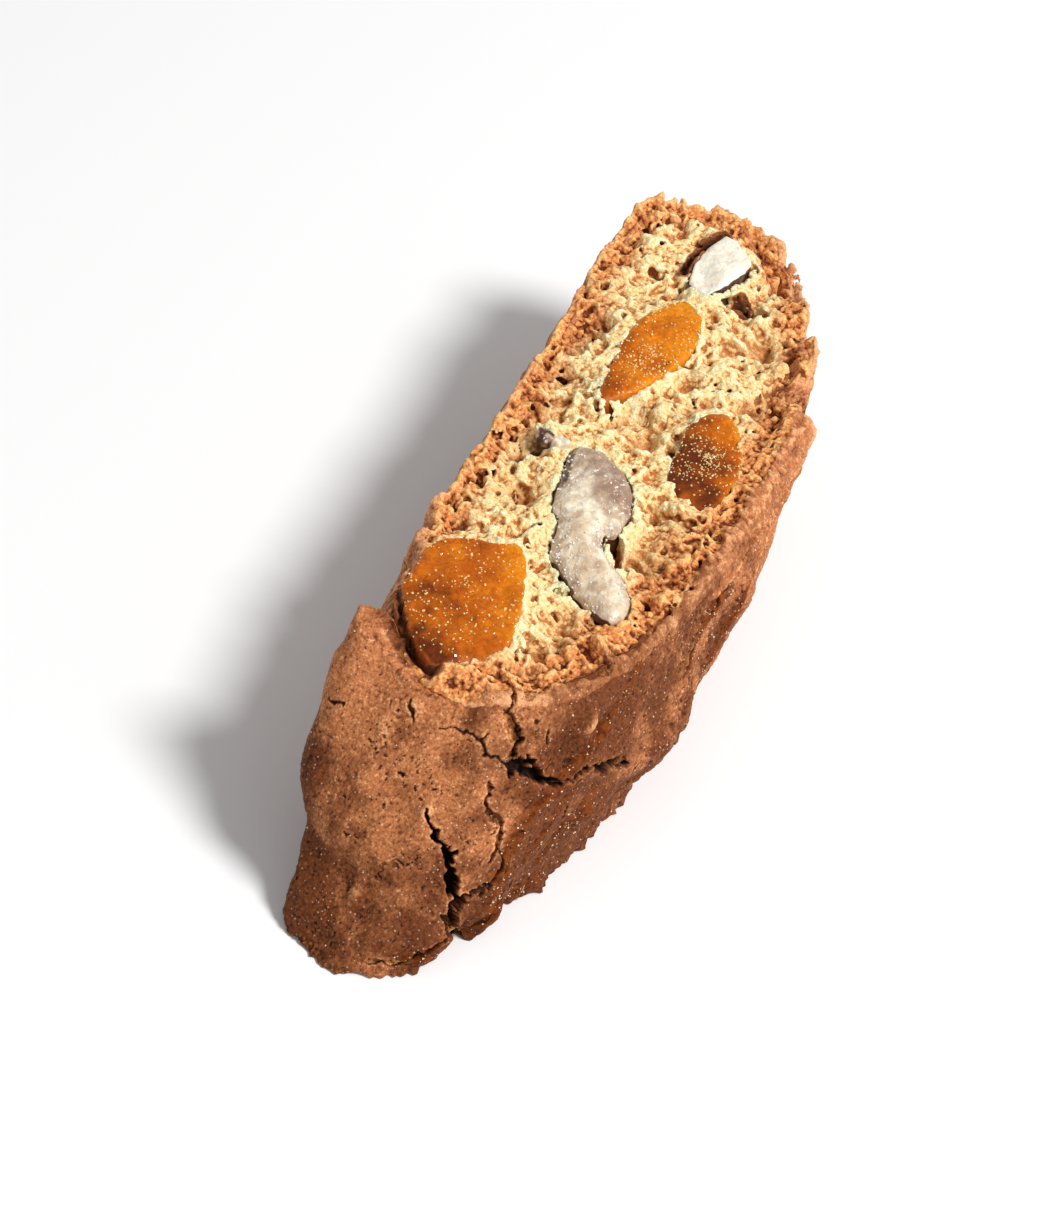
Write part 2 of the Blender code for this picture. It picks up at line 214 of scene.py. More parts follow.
# The flat direction out of the slice at a length along the rim, brought to length 1.
def rimNormal(arc):
    out = np.stack([alongRim(rimOut[:, k], arc) for k in range(2)], -1)
    return out / np.linalg.norm(out, axis=-1, keepdims=True)


# bump() along the closed rim, by the shorter way round.
def nearPlace(arc, place, halfWidth):
    gap = np.abs(arc - place) % rimLength
    return bump(np.minimum(gap, rimLength - gap), 0.0, halfWidth)


# How far the broken rim stands over the face: the sum of its rises.
def rimRise(arc):
    return sum(rise * nearPlace(arc, place, width) for place, width, rise in loaf["rimRises"])


# The wall, from arc along the rim and depth below the shown face: the rim's point moves towards -X
# with depth, and outwards by the sum of the wall's forms and two sizes of noise.
def wallPoint(arc, depth):
    w = depth / thickness
    edge = np.minimum(1, np.minimum(6 * w, 8 * (1 - w)))
    out = 0.35 * edge
    for place, below, width, height, size in loaf["wallForms"] + loaf["fineForms"]:
        out = out + size * nearPlace(arc, place, width) * bump(depth, below, height)
    flat = rimPoint(arc) - np.stack([loaf["slant"] * w, 0 * w], -1)
    z = thickness - depth + rimRise(arc) * np.clip(1 - w, 0, 1) ** 4
    place = np.concatenate([flat, z[..., None]], -1)
    out = out + edge * (0.55 * smoothNoise(place, 7.0, 11) + 0.3 * smoothNoise(place, 3.1, 12))
    return np.concatenate([flat + rimNormal(arc) * out[..., None], z[..., None]], -1)


# Distance from each flat point to the nearest sample of a curve, and that sample's number.
def nearestSample(xy, curve, chunk=4000):
    gap, index = np.empty(len(xy)), np.empty(len(xy), int)
    for start in range(0, len(xy), chunk):
        part = xy[start : start + chunk].astype(np.float32)
        d = (part[:, None, 0] - curve[None, :, 0]) ** 2 + (part[:, None, 1] - curve[None, :, 1]) ** 2
        index[start : start + chunk] = d.argmin(1)
        gap[start : start + chunk] = np.sqrt(d.min(1))
    return gap, index


# Distance to a route of straight runs in two or three dimensions, and the value given at its points,
# read at the nearest place on the route.
def routeDistance(points, route, values):
    route = np.array(route, float)
    best = np.full(points.shape[:-1], 1e9)
    value = np.zeros(points.shape[:-1])
    for a, b, va, vb in zip(route[:-1], route[1:], values[:-1], values[1:]):
        share = np.clip((points - a) @ (b - a) / ((b - a) @ (b - a)), 0, 1)
        gap = np.linalg.norm(points - a - share[..., None] * (b - a), axis=-1)
        value = np.where(gap < best, va + (vb - va) * share, value)
        best = np.minimum(best, gap)
    return best, value


# Distance to a route that has no values.
def routeGap(points, route):
    return routeDistance(points, route, np.zeros(len(route)))[0]


# Distance to a closed outline, negative inside it. A point is inside where a ray towards +X crosses
# the outline an odd number of times.
def outlineDistance(xy, outline):
    gap, _ = nearestSample(xy, outline)
    inside = np.zeros(len(xy), bool)
    for (ax, ay), (bx, by) in zip(outline, np.roll(outline, -1, 0)):
        crosses = (ay > xy[:, 1]) != (by > xy[:, 1])
        x = ax + (xy[:, 1] - ay) * (bx - ax) / (by - ay if by != ay else 1e-9)
        inside ^= crosses & (xy[:, 0] < x)
    return np.where(inside, -gap, gap)


# A mesh object from points in the slice's millimetres, with quads, triangles and named values.
def makeMesh(name, points, quads, triangles, values, material):
    mesh = bpy.data.meshes.new(name)
    placed = (points - np.array([*loaf["middle"], 0.0])) * mm
    quads = np.asarray(quads, np.int32).reshape(-1, 4)
    triangles = np.asarray(triangles, np.int32).reshape(-1, 3)
    mesh.vertices.add(len(placed))
    mesh.vertices.foreach_set("co", placed.astype(np.float32).ravel())
    mesh.loops.add(quads.size + triangles.size)
    mesh.loops.foreach_set("vertex_index", np.concatenate([quads.ravel(), triangles.ravel()]))
    starts = np.concatenate([np.arange(len(quads)) * 4, quads.size + np.arange(len(triangles)) * 3])
    mesh.polygons.add(len(quads) + len(triangles))
    mesh.polygons.foreach_set("loop_start", starts.astype(np.int32))
    mesh.update(calc_edges=True)
    mesh.validate()
    mesh.shade_smooth()
    for key, value in values.items():
        mesh.attributes.new(key, "FLOAT", "POINT").data.foreach_set("value", value.astype(np.float32).ravel())
    mesh.materials.append(material)
    piece = bpy.data.objects.new(name, mesh)
    bpy.context.scene.collection.objects.link(piece)
    return piece


# A piece's faces from the given one on are flat, and those before it stay smooth.
def flatFrom(piece, first):
    flat = piece.data.attributes.new("sharp_face", "BOOLEAN", "FACE")
    flat.data.foreach_set("value", np.arange(len(piece.data.polygons)) >= first)


# The squares of a grid of vertex numbers.
def gridQuads(index):
    return np.stack([index[:-1, :-1], index[:-1, 1:], index[1:, 1:], index[1:, :-1]], -1).reshape(-1, 4)


# Shader nodes by name: each call adds a node, sets its fields and sockets, and links what it is given.
# A value is read from the mesh, noise and cells have a size in millimetres, and spread maps the range
# from low to high smoothly onto another.
class Shader:
    def __init__(self, name):
        self.material = bpy.data.materials.new(name)
        self.material.use_nodes = True
        self.tree = self.material.node_tree
        self.surface = self.tree.nodes["Principled BSDF"]

    def put(self, socket, value):
        if isinstance(value, bpy.types.NodeSocket):
            self.tree.links.new(value, socket)
        else:
            socket.default_value = value

    def add(self, kind, fields=None, **sockets):
        node = self.tree.nodes.new(kind)
        for key, value in (fields or {}).items():
            setattr(node, key, value)
        for key, value in sockets.items():
            numbered = key[0] == "i" and key[1:].isdigit()
            self.put(node.inputs[int(key[1:]) if numbered else key.replace("_", " ")], value)
        return node

    def value(self, name):
        return self.add("ShaderNodeAttribute", {"attribute_name": name}).outputs["Fac"]

    def place(self):
        return self.add("ShaderNodeTexCoord").outputs["Object"]

    def noise(self, size, detail=3.0):
        made = self.add("ShaderNodeTexNoise", Scale=1 / (size * mm), Detail=detail, Roughness=0.55)
        self.put(made.inputs["Vector"], self.place())
        return made.outputs["Fac"]

    def cells(self, size):
        made = self.add("ShaderNodeTexVoronoi", {"feature": "F1"}, Scale=1 / (size * mm))
        self.put(made.inputs["Vector"], self.place())
        return made.outputs["Distance"]

    def spread(self, value, low, high, to=(0.0, 1.0)):
        made = self.add("ShaderNodeMapRange", {"interpolation_type": "SMOOTHSTEP"},
                        From_Min=low, From_Max=high, To_Min=to[0], To_Max=to[1])
        self.put(made.inputs["Value"], value)
        return made.outputs["Result"]

    def math(self, operation, a, b):
        return self.add("ShaderNodeMath", {"operation": operation}, i0=a, i1=b).outputs[0]

    def plus(self, a, b):
        return self.math("ADD", a, b)

    def times(self, a, b):
        return self.math("MULTIPLY", a, b)

    # How far a value is from its middle, times a size.
    def swing(self, value, size, middle=0.5):
        return self.times(self.math("SUBTRACT", value, middle), size)

    def mix(self, share, a, b, blend="MIX"):
        made = self.add("ShaderNodeMix", {"data_type": "RGBA", "blend_type": blend})
        for socket, value in ((made.inputs[0], share), (made.inputs[6], a), (made.inputs[7], b)):
            self.put(socket, value)
        return made.outputs[2]

    def finish(self, bumps=(), **sockets):
        normal = None
        for height, depth in bumps:
            made = self.add("ShaderNodeBump", Distance=depth * mm, Height=height)
            if normal:
                self.put(made.inputs["Normal"], normal)
            normal = made.outputs["Normal"]
        if normal:
            self.put(self.surface.inputs["Normal"], normal)
        for key, value in sockets.items():
            self.put(self.surface.inputs[key.replace("_", " ")], value)
        return self.material


# A colour from the 0 to 255 values of a picture, as the linear values that Blender wants.
def colour(red, green, blue):
    c = np.array([red, green, blue]) / 255
    return (*np.where(c <= 0.04045, c / 12.92, ((c + 0.055) / 1.055) ** 2.4), 1.0)


# Colours as a picture's values from 0 to 255.
dough = {
    # ridges, flat parts, pits: ridges lighter as painted light, pits darker, partly toasted and partly
    # painted shade
    "crumb": ((255, 240, 192), (254, 215, 150), (190, 116, 60)),
    "toasted": ((255, 194, 126), (224, 142, 80), (106, 48, 20)),
    "crust": ((238, 172, 120), (188, 116, 70), (104, 52, 26)),
    "browned": ((152, 88, 46), (112, 58, 26), (52, 22, 8)),
    "shade": (206, 150, 90),  # painted shade of the crumb in torn hollows
    # near black painted into cracks, pores and grooves as their shade
    "crack": (34, 14, 6),
    "caramel": ((84, 34, 4), (126, 62, 18)),  # where it is thick, where it is thin
    "sugarAndGlint": (250, 222, 190),  # pale specks in the crust: sugar grains, partly painted glints
}


# The crumb and the crust are one baked dough, told apart by values on the mesh: crust, toast, brown, caramel,
# the painted shade of hollows and of crevices, each from 0 to 1, and the painted shading of cavities, 0 on
# ridges, 0.5 where flat and 1 in pits, which paints ridges lighter and pits darker.
def bakedDough():
    s = Shader("baked_dough")
    toned = ("crumb", "toasted", "crust", "browned", "caramel")
    tones = {key: [colour(*tone) for tone in dough[key]] for key in toned}
    shade, crack, sugarAndGlint = (colour(*dough[key]) for key in ("shade", "crack", "sugarAndGlint"))
    fine = s.noise(0.17, 2.0)
    grain = s.noise(0.26)
    mid = s.noise(1.2)
    wander = s.swing(mid, 0.8)
    # The fine cells lighten tips and darken creases as painted light and shade, and also make a bump; with
    # the cavities and the grain they give the relief that picks each tone.
    granular = s.swing(s.cells(0.4), s.spread(s.value("crust"), 0.2, 0.8, (1.0, 0.25)), 0.42)
    relief = s.plus(s.plus(s.value("cavityShading"), s.swing(grain, 0.8)), s.times(granular, 0.7))

    # Painted light on the ridges, the flat tone, and painted shade in the pits.
    def shadedTones(name):
        ridge, flat, pit = tones[name]
        return s.mix(s.spread(relief, 0.5, 0.92), s.mix(s.spread(relief, 0.08, 0.52), ridge, flat), pit)

    # Painted shade: crumb in torn hollows takes the shade tone or the toasted pit tone, and the deepest the
    # pit tone.
    hollowShade = s.value("hollowShade")
    white = s.mix(s.times(hollowShade, 0.8), shadedTones("crumb"), shade)
    tan = s.mix(s.times(hollowShade, 0.6), shadedTones("toasted"), tones["toasted"][2])
    crumb = s.mix(s.spread(s.plus(s.value("toast"), wander), 0.15, 0.85), white, tan)
    crumb = s.mix(s.spread(hollowShade, 0.5, 1.0, (0.0, 0.6)), crumb, tones["crumb"][2])
    blotches = s.swing(s.noise(3.6, 4.0), 1.7)
    brown = s.plus(s.plus(s.value("brown"), wander), blotches)
    crust = s.mix(s.spread(brown, 0.1, 0.9), shadedTones("crust"), shadedTones("browned"))
    caramel = s.value("caramel")
    glaze = s.mix(s.spread(s.noise(1.0, 4.0), 0.4, 0.6), *tones["caramel"])
    crust = s.mix(s.times(caramel, 0.8), crust, glaze)
    # Painted shade: small pores of the crust dotted near black.
    pores = s.plus(s.cells(0.62), s.times(grain, 0.5))
    crust = s.mix(s.times(s.spread(pores, 0.4, 0.3), 0.6), crust, crack)
    # Pale specks of sugar, partly painted glints.
    specks = s.plus(s.cells(0.56), s.times(fine, 0.3))
    crust = s.mix(s.times(s.spread(specks, 0.32, 0.24), 0.45), crust, sugarAndGlint)
    share = s.plus(s.value("crust"), s.swing(mid, 0.5))
    base = s.mix(s.spread(share, 0.3, 0.7), crumb, crust)
    # Painted shade near black in cracks and grooves.
    base = s.mix(s.value("crack"), base, crack)
    base = s.mix(1.0, base, s.spread(fine, 0.3, 0.7, (0.76, 1.2)), "MULTIPLY")
    shut = s.times(s.spread(pores, 0.28, 0.4), s.value("crust"))  # high between the pores
    return s.finish(
        bumps=((fine, 0.06), (grain, 0.08), (s.times(granular, -1.0), 0.12), (shut, 0.12)),
        Base_Color=base, Roughness=s.spread(caramel, 0.1, 0.9, (0.7, 0.5)),
        Specular_IOR_Level=s.spread(caramel, 0.1, 0.9, (0.18, 0.05)),
        Subsurface_Weight=s.spread(share, 0.3, 0.7, (0.3, 0.08)), Subsurface_Radius=(1.0, 0.6, 0.28),
        Subsurface_Scale=0.7 * mm,
    )


# Pieces of fruit and nut baked into the dough, as in the solids: outline at the shown face, height of
# the top over it, height of the bottom over the floor (None runs through), drift towards -X, taper. Then
# how far the top falls towards its edge and over what width, the gap to the crumb, and how amber it is.
inlays = {
    "fruit_large": {
        "outline": ((-27.1, 3.5), (-26.6, 5.0), (-25.1, 6.8), (-22.8, 8.5), (-19.4, 10.2), (-14.6, 10.5),
                    (-11.9, 9.4), (-10.6, 6.2), (-9.8, 3.2), (-12.4, 1.6), (-17.2, 0.0), (-20.9, -0.7),
                    (-22.8, -0.8), (-24.6, 0.7), (-26.1, 2.1)),
        "top": 0.9, "bottom": None, "lean": 4.0, "taper": 0.86,
        "crown": 0.35, "round": 0.8, "gap": -0.12, "amber": 0.3,
    },
    "fruit_upper": {
        "outline": ((13.0, 4.9), (18.0, 5.9), (24.2, 6.2), (28.4, 4.7), (30.0, 2.6), (27.2, 0.5),
                    (23.2, 0.0), (18.6, 1.2), (14.4, 3.3)),
        "top": 0.5, "bottom": None, "lean": 11.0, "taper": 0.78,
        "crown": 0.35, "round": 0.9, "gap": -0.12, "amber": 0.5,
    },
    "fruit_right": {
        "outline": ((4.2, -7.4), (6.0, -4.8), (10.3, -3.9), (15.4, -3.8), (17.2, -6.4), (13.4, -9.0),
                    (8.0, -10.2), (4.6, -9.4)),
        "top": 0.1, "bottom": 9.0, "lean": 4.0, "taper": 0.7,
        "crown": 0.35, "round": 0.9, "gap": -0.12, "amber": 0.12,
    },
    "nut_kernel": {
        "outline": ((5.1, 4.5), (1.4, 3.9), (-2.8, 3.1), (-4.4, 1.8), (-7.7, 1.1), (-9.2, 0.5), (-10.8, -1.2),
                    (-12.6, -3.4), (-14.2, -6.2), (-14.1, -7.6), (-12.9, -8.3), (-11.2, -8.0), (-8.6, -6.2),
                    (-7.2, -4.4), (-5.6, -3.0), (-4.0, -2.6), (-3.2, -3.4), (-0.4, -3.6), (3.1, -2.3),
                    (5.4, 0.3), (6.3, 2.6)),
        "top": 1.2, "bottom": 11.0, "lean": 0.5, "taper": 0.6,
        "crown": 1.5, "round": 3.0, "gap": 0.14,
    },
    "nut_chip": {
        "outline": ((31.2, 1.9), (32.6, 3.9), (35.4, 4.6), (38.2, 4.2), (40.3, 3.5), (40.1, 2.0),
                    (38.0, -0.3), (36.4, -0.3), (32.9, 0.9)),
        "top": 0.7, "bottom": 14.0, "lean": 16.0, "taper": 0.7,
        "crown": 0.3, "round": 0.5, "gap": 0.1, "angular": True,
    },
}


# Points round an inlay's outline, by straight runs where it is angular.
def inlayOutline(shape, count):
    if not shape.get("angular"):
        return closedCurve(shape["outline"], count)[0]
    corners = np.array([*shape["outline"], shape["outline"][0]])
    lengths = runLengths(corners)
    return alongRun(np.linspace(0, lengths[-1], count, endpoint=False), lengths, corners)


# The torn crumb. Soft forms (x, y, radius, height), holes (x, y, radius, depth), and long hollows as
# routes with their half width and depth. The sides are the shown cut face and the back one.
crumb = {
    "forms": (
        (12.5, 0.6, 4.2, -1.7), (29.0, -5.5, 3.6, -1.3), (33.0, -9.0, 2.4, -2.2), (-5.4, -5.2, 2.0, -2.6),
        (-15.5, -3.2, 2.6, -1.6), (-2.0, 7.5, 3.0, -1.0), (22.5, -2.5, 3.4, 0.7), (-18.0, -7.4, 3.0, 0.8),
        (38.0, -1.0, 3.0, -0.9), (3.0, -9.2, 3.0, 0.6), (36.0, 8.6, 3.6, 0.6),
        (19.8, -0.9, 1.3, -1.3), (24.4, -1.8, 1.6, -1.4), (17.4, -2.5, 1.1, -1.0), (10.4, -0.7, 1.6, -1.2),
        (14.4, -3.1, 0.9, -1.0), (27.8, -6.4, 1.0, -1.0), (19.0, 10.6, 1.1, -1.2), (16.2, 9.5, 1.3, -1.4),
        (8.9, 8.6, 1.0, -1.3), (-1.2, 6.5, 1.3, -1.1), (3.3, 9.0, 0.9, -0.9), (18.2, -10.2, 1.0, -1.0),
        (1.6, -5.4, 0.8, -1.2), (24.0, 9.4, 1.3, -1.0), (-8.6, 9.6, 1.2, -1.2), (41.0, 8.0, 1.4, -1.0),
    ),
    "holes": (
        (-1.3, 6.3, 0.75, 2.4), (2.5, 8.4, 0.5, 1.8), (-6.7, 11.0, 0.7, 2.0), (-1.4, 10.6, 0.6, 1.6),
        (-7.2, 7.0, 1.0, 0.9), (-5.1, 4.9, 0.9, 0.9), (-10.7, 1.1, 1.1, 1.2), (-19.9, -2.6, 1.3, 2.4),
        (-22.0, -1.7, 0.4, 2.4), (-14.2, -7.4, 0.5, 2.2), (37.1, 8.6, 0.5, 1.5), (28.8, 10.6, 0.5, 1.8),
        (27.8, 9.8, 0.4, 1.6), (27.8, -6.1, 1.0, 1.6), (25.6, -10.1, 1.1, 2.8), (23.5, -2.5, 1.0, 0.9),
        (17.4, -2.4, 0.5, 2.0), (37.1, -3.7, 0.5, 1.2), (32.6, 4.6, 0.5, 1.6), (1.0, -5.4, 0.45, 2.2),
        (-2.3, -11.3, 0.35, 1.6), (-7.5, -10.6, 0.4, 1.6), (3.8, -11.0, 0.5, 1.2), (13.4, 6.4, 0.8, 1.2),
        (-16.2, -8.6, 0.45, 1.4), (-17.6, -9.2, 0.4, 1.4), (-19.6, -8.9, 0.35, 1.3),
        (-24.6, -5.2, 0.4, 1.4), (-25.6, -4.4, 0.35, 1.4), (-26.4, -3.2, 0.3, 1.4),
        (10.9, -10.4, 0.45, 2.0), (19.6, 9.8, 0.55, 1.8), (22.2, 9.2, 0.5, 1.6), (8.9, 7.6, 0.45, 1.4),
        (-12.0, 11.2, 0.6, 2.2),
    ),
    "routes": (
        (((-3.7, -3.3), (-5.2, -4.2), (-6.9, -5.6)), 0.8, 3.6),  # print of the kernel beside its waist
        (((33.1, -0.4), (33.2, -2.0), (32.7, -3.9)), 0.9, 2.2),
        (((27.8, -6.1), (28.3, -7.9), (25.6, -10.1)), 0.7, 1.8),
        (((1.7, -3.2), (2.0, -6.5), (2.6, -9.2)), 0.45, 1.3),
        (((9.8, -0.4), (9.3, -3.2), (12.6, -3.3)), 0.8, 1.4),
        (((-4.5, 8.7), (-3.8, 7.0)), 0.3, 1.6),
        (((-27.9, -4.0), (-26.6, -3.2), (-25.9, -2.9)), 0.4, 1.8),  # where the crack of the crust opens
    ),
    # ridges of crumb against a piece: route, half width, rise
    "ridges": (
        (((-27.5, 2.9), (-26.6, 1.3), (-25.2, -0.2), (-23.2, -1.5)), 0.75, 0.55),
        (((4.4, 6.0), (6.6, 6.6), (6.6, 8.2)), 0.8, 0.6),
    ),
    # grooves painted dark, brown as crust along them and painted shade near black along their middle: route,
    # half width, depth
    "darkGrooves": (
        (((-20.0, 10.4), (-23.0, 8.7), (-25.3, 7.0), (-26.9, 5.1), (-27.5, 3.5)), 0.27, 0.6),  # fruit
        (((34.4, 5.1), (37.2, 5.3), (39.6, 4.7), (41.2, 3.6)), 0.3, 1.0),  # over the chip
        (((33.5, -1.2), (33.1, -1.8)), 0.4, 1.5),
        (((25.0, -9.8), (23.9, -10.5)), 0.7, 2.0),
    ),
    # bubbles scattered in the dough: smallest and largest radius, how many in 100 cubic millimetres
    "bubbles": ((0.75, 1.2, 0.6), (0.42, 0.75, 3.0), (0.2, 0.4, 14.0)),
    "marginBubbles": ((0.5, 0.9, 2.4), (0.24, 0.5, 22.0)),  # more of them in the browned margin
    # cell of the field, how far it reaches below and above the face, where the pieces are cut apart
    "shown": {"cell": 0.165, "deep": 4.6, "high": 1.7, "cuts": (-11.5, 2.0, 15.5, 29.0), "seed": 7},
    "back": {"cell": 0.32, "deep": 3.2, "high": 0.6, "cuts": (), "seed": 8},
    "pocketFloor": 3.0,  # how deep the pockets round the fruit and nuts go
    "rough": ((1.3, 0.2, 81), (0.72, 0.12, 82)),  # size of each noise, its height, seed
    "grains": (0.58, 0.26),  # size and height of the smallest clumps
    # along the rim, how far in from it the crumb already has the colour and grain of crust
    "crustReach": ((0, 2.0), (6, 1.0), (14, 0.4), (20, 0.5), (28, 1.0), (42, 0.9), (54, 0.5), (66, 0.4),
                   (80, 0.3), (110, 0.2), (150, 0.3), (168, 1.4)),
    # along the rim, how far below the face the crumb goes in under the crust
    "seam": ((0, 1.6), (10, 0.7), (16, 0.5), (26, 0.6), (34, 1.2), (45, 2.4), (60, 2.2), (72, 1.6),
             (90, 1.5), (130, 1.6), (160, 1.6)),
    # how wide the crumb is drawn to a piece's height, and to the rim's
    "drawnToPiece": 1.5,
    "drawnToRim": 1.0,
    "edgeRound": 0.8,  # round between the torn top and the wall
    "lipGap": 0.6,  # how much further in the wall goes under the lip of the crust
    "bend": ((1.3, 0.34, 45), (0.55, 0.22, 48)),  # size, push and seed of the noises that bend the bubbles
    "backNoise": 60.0,  # how far off the back side reads those noises
    "skirt": 0.6,  # how far below the field a piece is closed
}
print("values set")


# smoothNoise on a regular grid: the lattice's numbers are spread along one axis after another.
def gridNoise(axes, size, seed):
    cells = [np.floor(a / size).astype(int) for a in axes]
    corners = np.meshgrid(*[np.arange(c[0], c[-1] + 2) for c in cells], indexing="ij")
    field = cellNumber(np.stack(corners, -1), seed).astype(np.float32)
    for k in (2, 1, 0):
        t = (axes[k] / size - cells[k]).astype(np.float32)
        t = (t * t * (3 - 2 * t)).reshape([-1 if a == k else 1 for a in range(3)])
        low = cells[k] - cells[k][0]
        field = np.take(field, low, k) * (1 - t) + np.take(field, low + 1, k) * t
    return 2 * field - 1


# A field on a regular grid read between its samples, by blending the eight round each place.
def readGrid(field, spots):
    low = [np.clip(np.floor(s).astype(np.int32), 0, n - 2) for s, n in zip(spots, field.shape)]
    part = [np.clip(s - c, 0, 1) for s, c in zip(spots, low)]
    total = 0
    for corner in np.ndindex(*[2] * len(low)):
        weight = 1
        for c, p in zip(corner, part):
            weight = weight * (p if c else 1 - p)
        total = total + weight * field[tuple(i + c for i, c in zip(low, corner))]
    return total


# Mean over a cube of samples round each one, by running sums along each axis.
def boxMean(field, reach):
    for k in range(3):
        padded = np.pad(field, [(reach + 1, reach) if a == k else (0, 0) for a in range(3)], mode="edge")
        total = np.cumsum(padded, axis=k)
        places = np.arange(field.shape[k])
        field = (np.take(total, places + 2 * reach + 1, k) - np.take(total, places, k)) / (2 * reach + 1)
    return field


# Cells reached from the starting ones through cells that are open, by their six neighbours.
def reached(start, passable):
    found = start & passable
    while True:
        wider = found.copy()
        for k in range(3):
            a = [slice(None)] * 3
            b = [slice(None)] * 3
            a[k], b[k] = slice(1, None), slice(None, -1)
            wider[tuple(a)] |= found[tuple(b)]
            wider[tuple(b)] |= found[tuple(a)]
        wider &= passable
        if wider.sum() == found.sum():
            return found
        found = wider


# How far each sample lies inside the nearest of the bubbles, r - distance, over a box round each.
def stampBubbles(axes, centres, radii, reach=0.35):
    field = np.full([len(a) for a in axes], -1.0, np.float32)
    origin = np.array([a[0] for a in axes])
    cell = axes[0][1] - axes[0][0]
    limit = np.array(field.shape)
    for centre, radius in zip(centres, radii):
        low = np.maximum(((centre - radius - reach - origin) / cell).astype(int), 0)
        high = np.minimum(((centre + radius + reach - origin) / cell).astype(int) + 2, limit)
        if np.any(high <= low):
            continue
        x, y, z = (axes[k][low[k] : high[k]] - centre[k] for k in range(3))
        part = field[low[0] : high[0], low[1] : high[1], low[2] : high[2]]
        away = np.sqrt(x[:, None, None] ** 2 + y[None, :, None] ** 2 + z[None, None, :] ** 2)
        np.maximum(part, radius - away, out=part)
    return field


# The surface where a field on a grid is zero, positive inside. Each cell that the surface crosses gets
# one point, the mean of the crossings of its edges, and each crossed edge a square between the points
# of the four cells round it.
def netSurface(field, axes):
    inside = field > 0
    size = np.array(field.shape)
    ids, spots, squares = [], [], []
    for k in range(3):
        a = [slice(None)] * 3
        b = [slice(None)] * 3
        a[k], b[k] = slice(None, -1), slice(1, None)
        crossed = np.argwhere(inside[tuple(a)] != inside[tuple(b)])
        after = crossed.copy()
        after[:, k] += 1
        va, vb = field[tuple(crossed.T)], field[tuple(after.T)]
        spot = crossed.astype(np.float64)
        spot[:, k] += va / (va - vb)
        u, v = (k + 1) % 3, (k + 2) % 3
        ring = []
        for du, dv in ((-1, -1), (0, -1), (0, 0), (-1, 0)):
            cell = crossed.copy()
            cell[:, u] += du
            cell[:, v] += dv
            ring.append(np.where(np.all(cell >= 0, axis=1), cell @ [size[1] * size[2], size[2], 1], -1))
        ring = np.stack(ring, 1)
        for j in range(4):
            good = ring[:, j] >= 0
            ids.append(ring[good, j])
            spots.append(spot[good])
        squares.append(np.where((va > 0)[:, None], ring, ring[:, ::-1])[np.all(ring >= 0, axis=1)])
    ids, spots, squares = np.concatenate(ids), np.concatenate(spots), np.concatenate(squares)
    used, place = np.unique(ids, return_inverse=True)
    count = np.bincount(place)
    points = np.stack([np.bincount(place, spots[:, k]) / count for k in range(3)], 1)
    cell = axes[0][1] - axes[0][0]
    return points * cell + [a[0] for a in axes], np.searchsorted(used, squares), points


# Signed distance inside the slice's outline and the place along the rim, for points of the shown face.
def outlinePlace(xy):
    _, index = nearestSample(xy, rimXy[::5])
    gap = -np.sum((xy - rimXy[::5][index]) * rimOut[::5][index], axis=1)
    return gap, rimArc[::5][index] + np.sum((xy - rimXy[::5][index]) * rimTangent[::5][index], axis=1)


# Share of crust over the rim: 1 beside the large fruit, where the crust ends in a broken lip, and 0
# round the rest, where the browned crumb comes out to the wall.
def lipShare(arc):
    a = np.mod(arc + 30.0, rimLength) - 30.0
    return step(a, -5.0, 0.0) * (1 - step(a, 10.0, 16.0))


# A value given at places along the rim, read at any place by straight runs between them.
def byRim(stops, arc):
    places, sizes = zip(*stops)
    return np.interp(arc, places, sizes, period=rimLength)


# Depth below the face at which crumb and crust cross, wandering along the rim.
def seamDepth(arc):
    return byRim(crumb["seam"], arc) + 0.6 * smoothNoise(np.stack([arc, 0 * arc, 0 * arc], -1), 3.0, 116)


# The finest noise is read in turned axes, so that it shows no rows.
turn = np.linalg.qr(np.array([[1.0, 0.4, -0.3], [-0.5, 1.0, 0.6], [0.2, -0.7, 1.0]]))[0]


# Even ground: two sizes of noise and the sum of the soft forms.
def crumbGround(xy):
    flat = np.column_stack([xy, np.zeros(len(xy))])
    ground = 0.45 * smoothNoise(flat, 6.0, 21) + 0.4 * smoothNoise(flat, 2.6, 22)
    for x, y, radius, size in crumb["forms"]:
        ground += size * bump(np.hypot(xy[:, 0] - x, xy[:, 1] - y), 0.0, radius)
    return ground


# Distance to a piece's outline at a depth below the shown face, positive outside it, for a grid's
# samples: the piece shrinks by its taper and drifts by its lean as it goes down.
def inlayDistance(shape, x, y, z):
    outline = inlayOutline(shape, 200)
    middle = outline.mean(0)
    sunk = (thickness - z) / thickness
    size = 1 - (1 - shape["taper"]) * sunk
    px = middle[0] + (x + shape["lean"] * sunk - middle[0]) / size
    px, py, size = np.broadcast_arrays(px, middle[1] + (y - middle[1]) / size, size)
    gap = outlineDistance(np.column_stack([px.ravel(), py.ravel()]), outline)
    return gap.reshape(px.shape) * size
